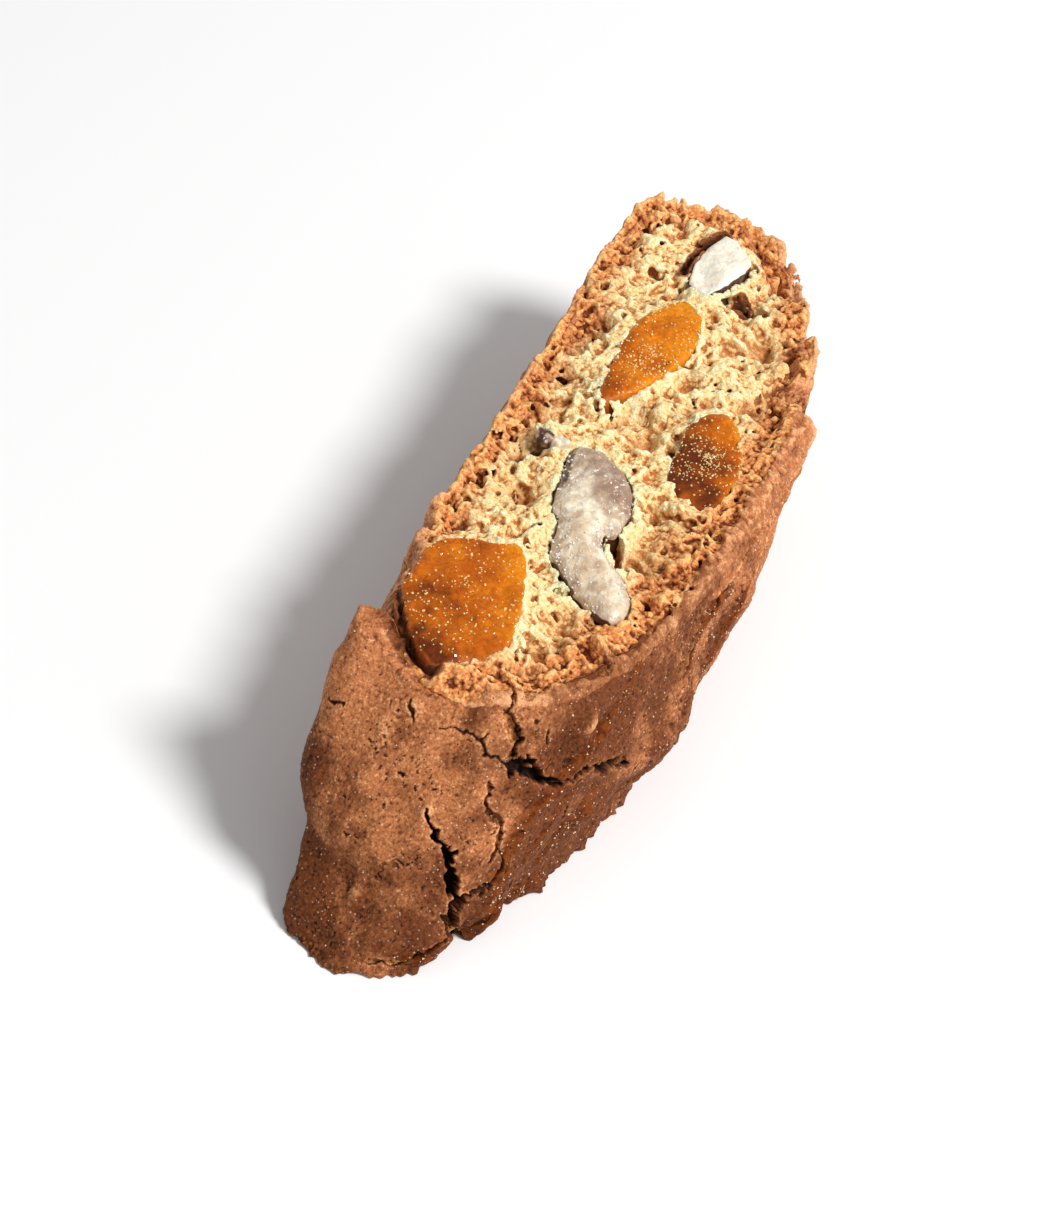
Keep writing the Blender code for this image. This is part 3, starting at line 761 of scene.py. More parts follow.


# Height of the torn top over the shown face: soft ground with clumps and torn steps, drawn to the tops
# of the pieces and to the rim by exp(-(distance / width)^2), and low where the flake of crust lies on it.
# Last come the ridges and the dark grooves. The clumps are read at points bent by noise, in turned axes.
def tornTop(flat, gap, arc):
    warp = np.column_stack([flat, np.zeros(len(flat))])
    warp = (warp + 0.5 * np.stack([smoothNoise(warp, 1.1, 42 + k) for k in range(3)], 1)) @ turn
    bent = (warp @ turn.T)[:, :2]
    top = crumbGround(flat) + 0.75 * clumps(warp, 2.5, 56) + 0.35 * clumps(warp, 1.15, 57) - 0.6
    torn = 0.9 * step(smoothNoise(warp, 3.6, 51), 0.12, 0.24)
    top -= torn + 0.5 * step(smoothNoise(warp, 1.9, 52), 0.2, 0.35)
    top += 0.3 * smoothNoise(warp, 1.5, 53)
    for shape in inlays.values():
        away = inlayDistance(shape, flat[:, 0], flat[:, 1], thickness + shape["top"] + 0 * flat[:, 0])
        near = np.exp(-((np.clip(away, 0, None) / crumb["drawnToPiece"]) ** 2))
        near = np.clip(near * (0.85 + 0.3 * smoothNoise(warp, 1.5, 54)), 0, 1)
        top += near * (shape["top"] - 0.8 * shape["crown"] - top)
    atRim = np.exp(-((np.clip(gap, 0, None) / crumb["drawnToRim"]) ** 2))
    top = (1 - 0.55 * atRim) * top + atRim * (rimRise(arc) * (1 - lipShare(arc)) + 0.12)
    flank = byRim(crust["lipWidth"], arc)
    top -= 0.9 * np.clip(flank - 1.0, 0, 1) * (1 - step(gap, flank - 0.4, flank + 0.3))
    for sign, routes in ((1, crumb["ridges"]), (-1, crumb["darkGrooves"])):
        for route, width, size in routes:
            away = routeGap(flat + 0.25 * bent - 0.25 * flat, route)
            top += sign * size * np.exp(-((away / width) ** 2))
    return top


# Middles and radii of a side's bubbles: the scattered ones that keep clear of the wall, and on the shown
# side rows of them for the holes and the long hollows.
def bubbleSpheres(side, xs, ys):
    made = crumb[side]
    shown = side == "shown"
    deep = made["deep"]
    rng = np.random.default_rng(made["seed"])
    volume = (xs[-1] - xs[0]) * (ys[-1] - ys[0]) * (deep + 0.7) / 100
    low, high = np.array([xs[0], ys[0], -deep + 0.5]), np.array([xs[-1], ys[-1], 0.9])
    centres, radii = [], []
    for sizes, nearest, farthest in ((crumb["bubbles"], 0.5, 99), (crumb["marginBubbles"], 0.25, 3.2)):
        for small, large, number in sizes:
            c = rng.uniform(low, high, (int(number * volume), 3))
            r = small + (large - small) * rng.random(len(c)) ** 1.6
            gap, arc = outlinePlace(c[:, :2] + [0 if shown else loaf["slant"], 0])
            reach = byRim(crumb["crustReach"], arc)
            keep = (gap - 0.7 * r > nearest) & (gap < farthest) & (c[:, 2] - r > -deep + 0.45)
            keep &= (gap - r > reach - 1.0) | (reach < 0.9)
            keep &= (lipShare(arc) < 0.3) | (gap > 5.0)
            centres.append(c[keep])
            radii.append(r[keep])
    if shown:
        spots = list(crumb["holes"])
        for route, width, depth in crumb["routes"]:
            lengths = runLengths(np.array(route))
            for x, y in alongRun(np.arange(0, lengths[-1], 0.5 * width), lengths, np.array(route)):
                spots.append((x, y, width, depth))
        spheres = np.array([(x, y, -t, radius) for x, y, radius, depth in spots
                            for t in np.arange(-0.4, max(depth - radius, 0) + 0.01, 0.5 * radius)])
        centres.append(spheres[:, :3])
        radii.append(spheres[:, 3])
    return np.concatenate(centres), np.concatenate(radii)


# The crumb as a field, positive inside it, in millimetres: the lower of the distance under its torn
# top and the distance in from the wall, less the bubbles and the pockets, with a rough skin of noise.
def crumbField(side):
    made = crumb[side]
    shown = side == "shown"
    cell = made["cell"]
    xs = np.arange(-33.0, 47.8, cell) - (0 if shown else loaf["slant"])
    ys = np.arange(-14.6, 15.2, cell)
    us = np.arange(-made["deep"], made["high"], cell)  # distance out from the cut face
    zs = thickness + us if shown else -us
    depths = thickness - zs
    px, py = np.meshgrid(xs, ys, indexing="ij")
    flat = np.column_stack([px.ravel(), py.ravel()])
    axes = (xs, ys, us + (0.0 if shown else crumb["backNoise"]))
    # outline, wider than the face so that the slant can slide it
    slide = loaf["slant"] * depths / thickness
    wide = np.arange(xs[0] + slide.min() - cell, xs[-1] + slide.max() + 2 * cell, cell)
    wx, wy = np.meshgrid(wide, ys, indexing="ij")
    gap, arc = outlinePlace(np.column_stack([wx.ravel(), wy.ravel()]))
    gap, arc = (v.reshape(wx.shape).astype(np.float32) for v in (gap, arc))
    rimStops = np.linspace(0, rimLength, 700, endpoint=False)
    stops, below = np.broadcast_arrays(rimStops[:, None], np.clip(depths, 0, thickness))
    moved = wallPoint(stops, below)[..., :2] + np.stack([loaf["slant"] * below / thickness, 0 * below], -1)
    wallOut = np.sum((moved - rimPoint(rimStops)[:, None]) * rimNormal(rimStops)[:, None], axis=-1)
    faceGap, faceArc = outlinePlace(flat + [0 if shown else loaf["slant"], 0])
    if shown:
        top = tornTop(flat, faceGap, faceArc)
    else:
        top = -0.02 + 0 * faceGap - 0.3 * np.exp(-((np.clip(faceGap, 0, None) / 0.6) ** 2))
    top = top.reshape(px.shape).astype(np.float32)
    # the wall goes in under the crust below the seam, and further in where the crust has a lip
    lip = lipShare(arc).astype(np.float32) * (crumb["lipGap"] if shown else 0.0)
    seam = seamDepth(arc).astype(np.float32) if shown else 0 * arc + 1.4
    calm = (1 - 0.45 * (1 - step(gap, 0.3, 0.9))).astype(np.float32)
    field = np.empty((len(xs), len(ys), len(us)), np.float32)
    quiet = np.empty_like(field)
    for k, u in enumerate(us):
        spot = (xs + slide[k] - wide[0]) / cell
        low, part = np.floor(spot).astype(int), (spot - np.floor(spot))[:, None]
        here = gap[low] * (1 - part) + gap[low + 1] * part
        out = np.interp(arc[low].ravel(), rimStops, wallOut[:, k], period=rimLength).reshape(here.shape)
        inset = (0.1 if shown else 0.5) + 1.2 * step(max(-u, 0.0) - seam[low], 0.0, 1.6) + lip[low]
        edge = here + out - inset
        under = top - u
        h = np.clip(0.5 + 0.5 * (edge - under) / crumb["edgeRound"], 0, 1)
        field[:, :, k] = edge * (1 - h) + under * h - crumb["edgeRound"] * h * (1 - h)
        quiet[:, :, k] = calm[low]
    # bubbles, read through a bent copy of the grid
    centres, radii = bubbleSpheres(side, xs, ys)
    centres[:, 2] += axes[2][0] - us[0]
    bubbles = stampBubbles(axes, centres, radii)
    spots = np.meshgrid(*[np.arange(n, dtype=np.float32) for n in bubbles.shape], indexing="ij")
    for k in range(3):
        spots[k] += sum(push * gridNoise(axes, size, seed + k) for size, push, seed in crumb["bend"]) / cell
    field = np.minimum(field, -readGrid(bubbles, spots))
    # pockets for fruit and nuts
    for shape in inlays.values():
        if not shown and shape["bottom"] is not None:
            continue
        outline = inlayOutline(shape, 60) - [0 if shown else shape["lean"], 0]
        (x0, y0), (x1, y1) = outline.min(0) - 1.5, outline.max(0) + 1.5
        i = slice(*np.searchsorted(xs, (x0, x1)))
        j = slice(*np.searchsorted(ys, (y0, y1)))
        away = inlayDistance(shape, xs[i][:, None, None], ys[j][None, :, None], zs[None, None, :])
        wall = np.maximum(away - shape["gap"], -crumb["pocketFloor"] - us)
        field[i, j] = np.minimum(field[i, j], wall)
    # the rough skin
    i, j, k = np.nonzero(np.abs(field) < 0.75)
    band = np.stack([xs[i], ys[j], us[k]], -1) @ turn
    rough = sum(height * slopeNoise(band, size, seed) for size, height, seed in crumb["rough"])
    thin = np.abs(field[i, j, k]) < 0.4
    rough[thin] += crumb["grains"][1] * (clumps(band[thin], crumb["grains"][0], 58) - 0.5)
    field[i, j, k] += rough * quiet[i, j, k] if shown else 0.3 * rough * np.clip(-us[k] / 0.6, 0, 1)
    if not shown:
        field = np.minimum(field, -us[None, None, :] - 0.01)
    # no loose scraps and no shut hollows
    solid = field > 0
    floor, sky = np.zeros(solid.shape, bool), np.zeros(solid.shape, bool)
    floor[:, :, 0], sky[:, :, -1] = True, True
    field = np.where(solid & ~reached(floor, solid), -0.3 * cell, field)
    field = np.where(~solid & ~reached(sky, ~solid), 0.3 * cell, field)
    return field, (xs, ys, us)


# The crumb of one side as closed pieces, cut across at the named places. Each piece's open edges run
# straight down into the slice and then to one point there.
def crumbPieces(side, material):
    made = crumb[side]
    shown = side == "shown"
    field, axes = crumbField(side)
    points, quads, spots = netSurface(field, axes)
    solid = (field > 0).astype(np.float32)
    # Painted light and shade: the more solid round a point, the darker it is painted.
    crowd = 0.6 * boxMean(solid, 2 if shown else 1) + 0.4 * boxMean(solid, 6 if shown else 3)
    cavityShading = readGrid(crowd, [spots[:, k] for k in range(3)])
    z = points[:, 2] if shown else -points[:, 2]
    slide = loaf["slant"] * ((0 if shown else thickness) - z) / thickness
    gap, arc = outlinePlace(points[:, :2] + np.column_stack([slide, 0 * slide]))
    margin = byRim(loaf["margin"], arc)
    wander = 1.2 * smoothNoise(points @ turn, 2.4, 41) + 0.5 * smoothNoise(points @ turn, 0.9, 40)
    toast = 1 - step(gap + 0.8 * wander, 0.15 * margin, 1.15 * margin)
    reach = byRim(crumb["crustReach"], arc)
    outer = 1 - step(gap + 0.45 * wander, 0.55 * reach, 1.2 * reach + 0.1)
    low = 0.8 * nearPlace(arc, 17.0, 8.0) + 0.5 * nearPlace(arc, 34.0, 12.0) if shown else 0
    outer = np.maximum(outer, step(low - points[:, 2] + 0.4 * wander, 0.0, 1.2) * (1 - step(gap, 0.1, 0.5)))
    brown = np.clip(byRim(crust["browned"], arc) - 0.2, 0.15, 1)
    grooveShade = 0 * gap
    if shown:
        for route, width, _ in crumb["darkGrooves"]:
            away = routeGap(points[:, :2], route)
            darkGrooves = 1 - step(away + 0.4 * wander, 1.1 * width, 1.1 * width + 0.9)
            outer, brown = np.maximum(outer, darkGrooves), np.maximum(brown, 1.1 * darkGrooves)
            # Painted shade near black along the middle of each dark groove.
            grooveShade = np.maximum(grooveShade, 0.6 * (1 - step(away + 0.2 * wander, 0.5 * width, width + 0.3)))
    # Painted shade grows with depth below the face, away from the rim.
    values = {
        "toast": toast, "hollowShade": np.clip((-0.45 - points[:, 2]) / 1.9, 0, 1) * step(gap, 0.5, 1.5),
        "cavityShading": np.clip((cavityShading - 0.5) / 0.42 + 0.5, 0, 1),
        "crust": outer, "brown": brown, "crack": grooveShade, "caramel": 0 * gap,
    }
    points[:, 2] = thickness + points[:, 2] if shown else -points[:, 2]
    if not shown:
        quads = quads[:, ::-1]
    where = points[quads].mean(1)[:, 0]
    stops = [-1e9, *made["cuts"], 1e9]
    pieces = []
    for number, (a, b) in enumerate(zip(stops[:-1], stops[1:])):
        part = quads[(where >= a) & (where < b)]
        used, place = np.unique(part, return_inverse=True)
        part = place.reshape(part.shape)
        fromTo = np.stack([part, np.roll(part, -1, 1)], -1).reshape(-1, 2)
        openEdges = fromTo[~np.isin(fromTo @ [len(used), 1], fromTo @ [1, len(used)])]
        ring, under = np.unique(openEdges, return_inverse=True)
        under = under.reshape(openEdges.shape) + len(used)
        skirt = points[used][ring]
        floor = thickness - made["deep"] - crumb["skirt"] if shown else made["deep"] + crumb["skirt"]
        skirt[:, 0] -= loaf["slant"] * (skirt[:, 2] - floor) / thickness
        skirt[:, 2] = floor
        skirt += 0.05 * (skirt.mean(0) - skirt)
        sides = np.column_stack([openEdges[:, 1], openEdges[:, 0], under])
        fan = np.column_stack([under[:, 1], under[:, 0], np.full(len(openEdges), len(used) + len(ring))])
        name = "crumb_" + side + ("_%d" % (number + 1) if made["cuts"] else "")
        here = {key: np.append(value[used], np.zeros(len(ring) + 1)) for key, value in values.items()}
        corners = np.vstack([points[used], skirt, skirt.mean(0)])
        piece = makeMesh(name, corners, np.vstack([part, sides]), fan, here, material)
        flatFrom(piece, len(part))
        print(name, "has", 2 * (len(part) + len(sides)) + len(fan), "triangles")
        pieces.append(piece)
    return pieces


# The crust: a shell round the wall in three closed stretches, whose lip turns in over both cut faces.
crust = {
    # name, where the stretch starts along the rim, columns
    "stretches": (("crust_end", -5.0, 400), ("crust_side", 34.0, 380), ("crust_base", 72.0, 400)),
    "wallRows": 228,
    "lip": (0.08, 0.2, 0.35, 0.5, 0.65, 0.78, 0.88, 0.95, 1.0),  # rows of the lip, as shares of its width
    # along the rim, how far the lip turns in over the face
    "lipWidth": ((0, 3.5), (1.6, 3.7), (3, 3.3), (4.5, 2.9), (6, 2.5), (7.5, 1.9), (9, 1.2), (10.5, 0.7),
                 (34, 0.8), (170, 0.8), (173, 1.9)),
    # rows of the inner side: how far in, below the shown face
    "inside": ((0.1, 1.2), (3.2, 4.0), (3.2, 14.0), (2.4, 18.6), (1.6, thickness), (0.8, thickness)),
    # along the rim, how dark it baked
    "browned": ((0, 0.3), (4, 0.1), (8, 0.25), (16, 0.45), (22, 0.8), (34, 0.85), (44, 0.6), (60, 0.45),
                (72, 0.35), (90, 0.3), (110, 0.35), (150, 0.4), (170, 0.6)),
    # cracks: route of (along the rim, below the shown face, half width), depth, how much painted shade inside
    "cracks": (
        (((16.2, 0.0, 0.4), (16.2, 1.1, 0.3), (16.7, 1.8, 0.24), (17.7, 2.7, 0.4), (17.4, 3.8, 0.26),
          (18.6, 4.5, 0.55), (20.4, 5.5, 0.26), (22.4, 6.4, 0.09), (23.7, 7.0, 0.16), (24.3, 6.8, 0.08),
          (25.7, 6.6, 0.26), (27.4, 7.0, 0.12)), 1.2, 1.0),
        (((27.4, 7.0, 0.16), (29.0, 7.7, 0.3), (31.2, 8.6, 0.45), (33.2, 9.3, 0.36), (35.2, 10.2, 0.14)),
         1.3, 1.0),
        (((17.6, 4.2, 0.08), (16.7, 3.9, 0.04), (15.3, 3.4, 0.06), (14.4, 2.7, 0.03), (13.4, 2.1, 0.04),
          (12.2, 1.9, 0.02), (10.8, 1.9, 0.0)), 0.3, 0.9),
        (((14.9, 2.1, 0.0), (14.4, 2.7, 0.04), (14.7, 3.1, 0.0)), 0.3, 0.8),
        (((18.8, 0.0, 0.3), (18.4, 0.5, 0.2), (17.2, 0.6, 0.1)), 0.9, 1.0),
        (((12.1, 7.5, 0.04), (12.3, 7.9, 0.14), (12.9, 8.7, 0.1), (13.7, 9.4, 0.16), (14.7, 10.2, 0.16),
          (15.5, 11.0, 0.42), (15.9, 11.9, 0.24), (16.7, 12.9, 0.3), (17.3, 13.6, 0.3), (17.9, 14.3, 0.85),
          (17.6, 15.0, 0.4), (18.4, 16.4, 0.26), (20.4, 18.0, 0.4), (22.2, 19.5, 0.7)), 2.2, 1.0),
        (((18.4, 13.8, 0.5), (20.0, 13.4, 0.36), (20.6, 12.2, 0.14), (20.2, 11.0, 0.04)), 0.8, 0.8),
        (((16.2, 5.4, 0.1), (16.8, 6.1, 0.2), (16.7, 6.9, 0.14), (17.7, 7.8, 0.24), (18.8, 8.7, 0.16),
          (19.2, 10.0, 0.2), (19.2, 11.1, 0.04)), 0.45, 0.3),
        (((27.1, 10.1, 0.04), (27.8, 11.6, 0.14), (27.7, 12.3, 0.12), (27.2, 12.8, 0.03), (26.2, 12.8, 0.12),
          (26.4, 13.8, 0.16), (25.2, 14.2, 0.06), (24.0, 14.4, 0.04), (25.2, 16.0, 0.12), (25.9, 17.3, 0.2)),
         0.7, 1.0),
        (((11.8, 18.2, 0.1), (14.3, 18.4, 0.2), (16.4, 17.4, 0.24), (18.0, 16.9, 0.1)), 0.7, 0.8),
        (((1.8, 4.2, 0.06), (2.5, 3.6, 0.02)), 0.4, 0.9),
        (((7.7, 1.1, 0.04), (8.2, 1.6, 0.1), (8.7, 2.0, 0.02)), 0.4, 0.8),
        (((20.1, 2.5, 0.03), (20.4, 2.9, 0.08), (20.7, 3.4, 0.0)), 0.4, 0.9),
        (((5.8, 4.2, 0.05), (6.0, 4.3, 0.02)), 0.3, 0.9),
        (((9.0, 5.5, 0.08), (9.2, 5.6, 0.02)), 0.3, 0.9),
        (((6.6, 10.5, 0.08), (6.8, 10.6, 0.02)), 0.3, 0.9),
        (((20.5, 9.4, 0.04), (21.2, 9.6, 0.04)), 0.4, 0.9),
        (((47.4, 2.9, 0.06), (45.3, 3.1, 0.1), (43.4, 4.0, 0.1), (42.0, 5.5, 0.08), (40.7, 7.0, 0.0)),
         0.4, 0.6),
    ),
    # patches where the brown skin is thinner (minus) or darker, some darker ones being painted shade in
    # dents: along, below, radius, change
    "patches": (
        (6.4, 0.4, 1.0, -0.6), (12.2, 0.2, 1.0, -0.5), (8.1, 1.6, 0.9, -0.6), (12.6, 3.2, 0.7, -0.4),
        (16.5, 5.6, 1.0, -0.5), (12.9, 7.9, 1.0, -0.5), (10.5, 10.5, 1.0, -0.4), (4.1, 10.9, 1.0, -0.3),
        (13.4, 6.0, 1.0, -0.5), (19.0, 9.4, 1.2, -0.4), (3.0, 1.0, 2.4, -0.5), (24.4, 3.1, 0.9, -0.7),
        (58.0, 3.0, 2.4, -0.6), (19.2, 3.6, 0.8, -0.4), (66.2, 0.8, 1.6, -0.6), (17.0, 13.6, 0.9, -0.4),
        (12.5, 3.8, 1.2, 0.4), (12.9, 1.0, 0.9, 0.35), (8.3, 3.3, 1.2, 0.35), (22.7, 3.8, 1.2, 0.6),
        (22.2, 5.2, 1.2, 0.6), (2.0, 7.8, 1.8, 0.4), (9.4, 15.0, 1.2, 0.5), (26.0, 9.0, 1.6, 0.3),
        (30.0, 14.0, 2.6, 0.3), (49.8, 6.0, 1.6, 0.5), (50.0, 9.0, 1.8, 0.5), (44.0, 4.0, 1.4, 0.5),
        (37.0, 6.0, 1.6, 0.3), (22.0, 16.5, 1.4, 0.5), (0.0, 14.0, 2.4, 0.4), (4.6, 16.0, 3.0, 0.5),
        (13.0, 1.6, 3.0, 0.2), (5.4, 6.4, 2.0, 0.3), (18.6, 10.0, 3.4, -0.3), (1.0, 10.0, 1.6, 0.35),
        (14.4, 12.6, 1.8, 0.3), (7.4, 8.4, 1.6, 0.3), (31.0, 3.0, 2.0, 0.4),
    ),
    # patches full of pits: along, below, radius
    "pitted": (
        (12.0, 10.5, 1.8), (17.6, 8.6, 1.6), (18.6, 11.0, 2.2), (7.0, 3.6, 2.0), (5.4, 9.0, 2.0),
        (7.4, 10.6, 1.6), (14.0, 14.8, 1.8), (21.6, 8.8, 1.6), (9.6, 12.6, 1.8), (2.6, 13.4, 1.6),
        (33.0, 3.6, 1.8), (31.0, 7.0, 2.0), (41.0, 3.0, 1.8), (47.0, 6.4, 2.0), (90.0, 8.0, 4.0),
        (120.0, 12.0, 4.0), (143.0, 6.0, 4.0),
    ),
    # dents and lumps: along, below, radius, size
    "dents": (
        (7.2, 13.9, 1.5, -0.9), (10.0, 15.4, 1.6, -1.0), (8.8, 14.4, 0.9, 0.6), (13.0, 3.7, 1.8, -0.8),
        (24.3, 2.9, 1.2, 1.1), (22.6, 4.2, 2.2, -0.8), (8.4, 1.2, 1.1, 0.6), (6.6, 3.2, 1.0, 0.35),
        (23.4, 17.2, 1.8, 1.1), (21.4, 16.0, 1.2, 0.7), (18.0, 6.0, 1.3, -0.35), (12.2, 7.6, 0.9, 0.5),
        (4.0, 17.0, 2.4, 0.5), (30.0, 5.0, 2.2, -0.5), (33.0, 12.6, 2.4, 0.7), (38.0, 15.0, 2.0, -0.7),
        (52.0, 1.4, 1.4, 0.7), (49.0, 4.6, 2.2, -0.3), (44.0, 9.0, 2.4, 0.5), (5.2, 10.6, 2.2, 0.4),
        (11.6, 10.4, 1.3, 0.3), (16.6, 16.6, 1.6, 0.5), (110.0, 7.0, 3.0, -0.7), (95.0, 12.0, 3.0, 0.6),
        (130.0, 6.0, 4.0, -0.6), (150.0, 13.0, 4.0, 0.5), (84.0, 5.0, 3.0, -0.7), (27.2, 4.4, 1.6, -0.7),
        (3.0, 7.0, 1.8, -0.5), (9.0, 6.6, 1.8, -0.4), (17.0, 10.2, 1.4, 0.4), (15.4, 7.0, 1.2, 0.4),
    ),
    "crackEdge": 0.17,  # width over which a crack's side falls
    "crackRim": 0.06,  # how far the crust stands up beside a crack
    "poreDepth": 1.3,  # depth of the pores, in their own depths
    # dark sugar that ran and set: its thickness, then routes of (along, below, half width)
    "caramelRise": 0.18,
    "caramel": (
        ((23.4, 7.4, 0.5), (21.9, 7.6, 0.7), (20.9, 8.8, 0.9), (20.6, 10.4, 0.9), (20.6, 12.4, 1.0),
         (22.0, 14.6, 1.0), (24.0, 18.0, 1.3)),
        ((26.0, 8.6, 0.5), (25.0, 10.4, 0.7), (24.0, 12.6, 0.6)),
        ((30.8, 0.4, 0.3), (29.4, 2.2, 0.5), (29.0, 3.4, 0.7), (27.6, 4.7, 0.9), (24.9, 5.3, 0.7),
         (23.4, 6.0, 0.4)),
        ((28.0, 18.0, 0.7), (31.4, 18.2, 0.9)),
        ((30.0, 9.6, 0.6), (30.6, 12.0, 0.9), (29.0, 15.0, 0.6)),
        ((14.6, 17.8, 0.6), (17.0, 18.0, 0.7)),
        ((47.2, 3.1, 0.4), (45.3, 3.4, 0.6), (43.4, 4.3, 0.7), (41.8, 6.0, 0.5)),
        ((51.8, 5.0, 0.5), (50.0, 6.4, 0.8), (49.4, 9.0, 0.6), (46.0, 12.0, 0.7)),
    ),
}


# Three noises of one size, as a push in space.
def noisePush(points, size, seed):
    return np.stack([slopeNoise(points, size, seed + k) for k in range(3)], -1)


# Relief of the crust along its normal, the same with cracks and pores made shallow, and the values of its
# finish, among them the painted shade inside pores, hairlines and cracks. It is noise of several sizes,
# wrinkles and lumps of the domed side, dents, open pores, hairlines where a noise passes zero, cracks and set
# sugar. Pores are read at points pushed about by noise, and cracks at their place on the unrolled wall,
# pushed half as far, which makes their sides ragged.
def crustRelief(arc, depth, points):
    shape = arc.shape
    place = points.reshape(-1, 3)
    a, d = arc.ravel(), depth.ravel()
    bent = place + 0.34 * noisePush(place, 1.1, 91) + 0.2 * noisePush(place, 0.42, 87)
    height = 0.16 * slopeNoise(place, 3.2, 93) + 0.05 * slopeNoise(bent, 1.2, 94)
    height += 0.03 * slopeNoise(bent @ turn, 0.5, 95) + 0.03 * slopeNoise(place @ turn, 0.26, 98)
    slide = np.column_stack([a + 0.5 * d, 0.3 * d, np.zeros(len(a))])
    slide[:, 0] += 1.2 * smoothNoise(place, 4.0, 96)
    domed = step(a, 30, 42) * (1 - step(a, 84, 94))
    wrinkled = step(smoothNoise(place, 5.0, 99), -0.3, 0.5)
    height += domed * wrinkled * (0.2 * (1 - np.abs(slopeNoise(slide, 2.6, 97))) ** 2 - 0.1)
    height += domed * (0.12 * slopeNoise(place, 1.7, 90) + 0.05 * slopeNoise(bent, 0.7, 89))
    for along, below, radius, size in crust["dents"]:
        height += size * nearPlace(a, along, radius) * bump(d, below, radius)
    pitted = np.zeros(len(a))
    for along, below, radius in crust["pitted"]:
        pitted = np.maximum(pitted, nearPlace(a, along, radius) * bump(d, below, radius))
    ground = height.copy()
    patch = step(smoothNoise(place, 3.4, 100) + 1.2 * pitted, 0.1, 0.8)
    pores = 0.6 * poreDepth(bent, 1.9, 0.2, 0.07, 0.15, 101)
    pores = np.maximum(pores, (0.2 + 0.8 * patch) * poreDepth(bent, 0.8, 0.3, 0.10, 0.24, 106))
    pores = np.maximum(pores, patch * poreDepth(bent, 0.5, 0.5, 0.14, 0.36, 111))
    height -= crust["poreDepth"] * pores
    hairline = patch * step(-np.abs(smoothNoise(bent, 1.5, 117)), -0.05, -0.01)
    hairline *= step(smoothNoise(place, 2.1, 118), 0.4, 0.55)
    height -= 0.3 * hairline
    # Painted shade in the pores and hairlines.
    crack = np.maximum(0.9 * np.clip(pores / 0.14, 0, 1), 0.8 * hairline)
    rough = slopeNoise(place, 1.0, 119) + 0.6 * slopeNoise(place, 0.45, 120)
    unrolled = np.column_stack([a, d]) + 0.5 * (bent - place)[:, :2]
    for route, deep, dark in crust["cracks"]:
        route = np.array(route)
        away, width = routeDistance(unrolled, route[:, :2], route[:, 2])
        width = width * np.maximum(1 + 0.9 * rough, 0.45)
        cut = np.clip((width - away) / crust["crackEdge"] + 0.5, 0, 1)
        near = bump(away, 0.0, 1.5) * crust["crackRim"]
        height += near - (deep + near) * cut
        crack = np.maximum(crack, dark * step(width - away, -0.07, 0.02))
    caramel = np.zeros(len(a))
    for route in crust["caramel"]:
        route = np.array(route)
        away, width = routeDistance(unrolled, route[:, :2], route[:, 2])
        caramel = np.maximum(caramel, 1 - step(away + 0.3 * width * rough, 0.5 * width, 1.4 * width))
    height += crust["caramelRise"] * caramel
    brown = byRim(crust["browned"], a) + 0.2 * pitted * (1 - caramel) - 0.1
    for along, below, radius, change in crust["patches"]:
        brown += change * nearPlace(a, along, radius) * bump(d, below, radius)
    # darker at the corner of the base and towards the back, painted shade where the wall turns from the
    # light, and round the upper crack
    brown += 0.65 * nearPlace(a, 176.0, 7.0) * step(d, 3.0, 9.0) + 0.4 * step(d, 8.0, 17.0)
    brown += 0.45 * nearPlace(a, 24.0, 6.0) * bump(d, 6.0, 4.0)
    # paler on the flake and along the rim of the domed side
    brown -= 0.5 * nearPlace(a, 3.0, 5.0) * bump(d, 1.0, 5.0)
    brown -= 0.5 * (1 - step(d, 0.4, 2.4)) * step(a, 26.0, 40.0)
    level = np.maximum(height, ground - 0.08)
    made = (height, level, np.minimum(crack, 1), caramel, np.maximum(brown, -0.4))
    return [value.reshape(shape) for value in made]


# The open loop of points at one end of a stretch is closed by triangles between its wall, which is the
# first run of rows, and the few rows of its inner side.
def capTriangles(loop, wallCount, depths):
    outer = np.arange(len(loop))[:wallCount]
    inner = np.arange(len(loop))[wallCount:][::-1]  # from the bottom up, as the wall
    target = np.array([np.argmin(np.abs(depths[inner] - depths[k])) for k in outer])
    target = np.maximum.accumulate(target)
    target[-1] = len(inner) - 1
    target[0] = 0
    faces = []
    for k in range(wallCount - 1):
        faces.append((loop[outer[k]], loop[outer[k + 1]], loop[inner[target[k]]]))
        for j in range(target[k], target[k + 1]):
            faces.append((loop[outer[k + 1]], loop[inner[j + 1]], loop[inner[j]]))
    return np.array(faces)


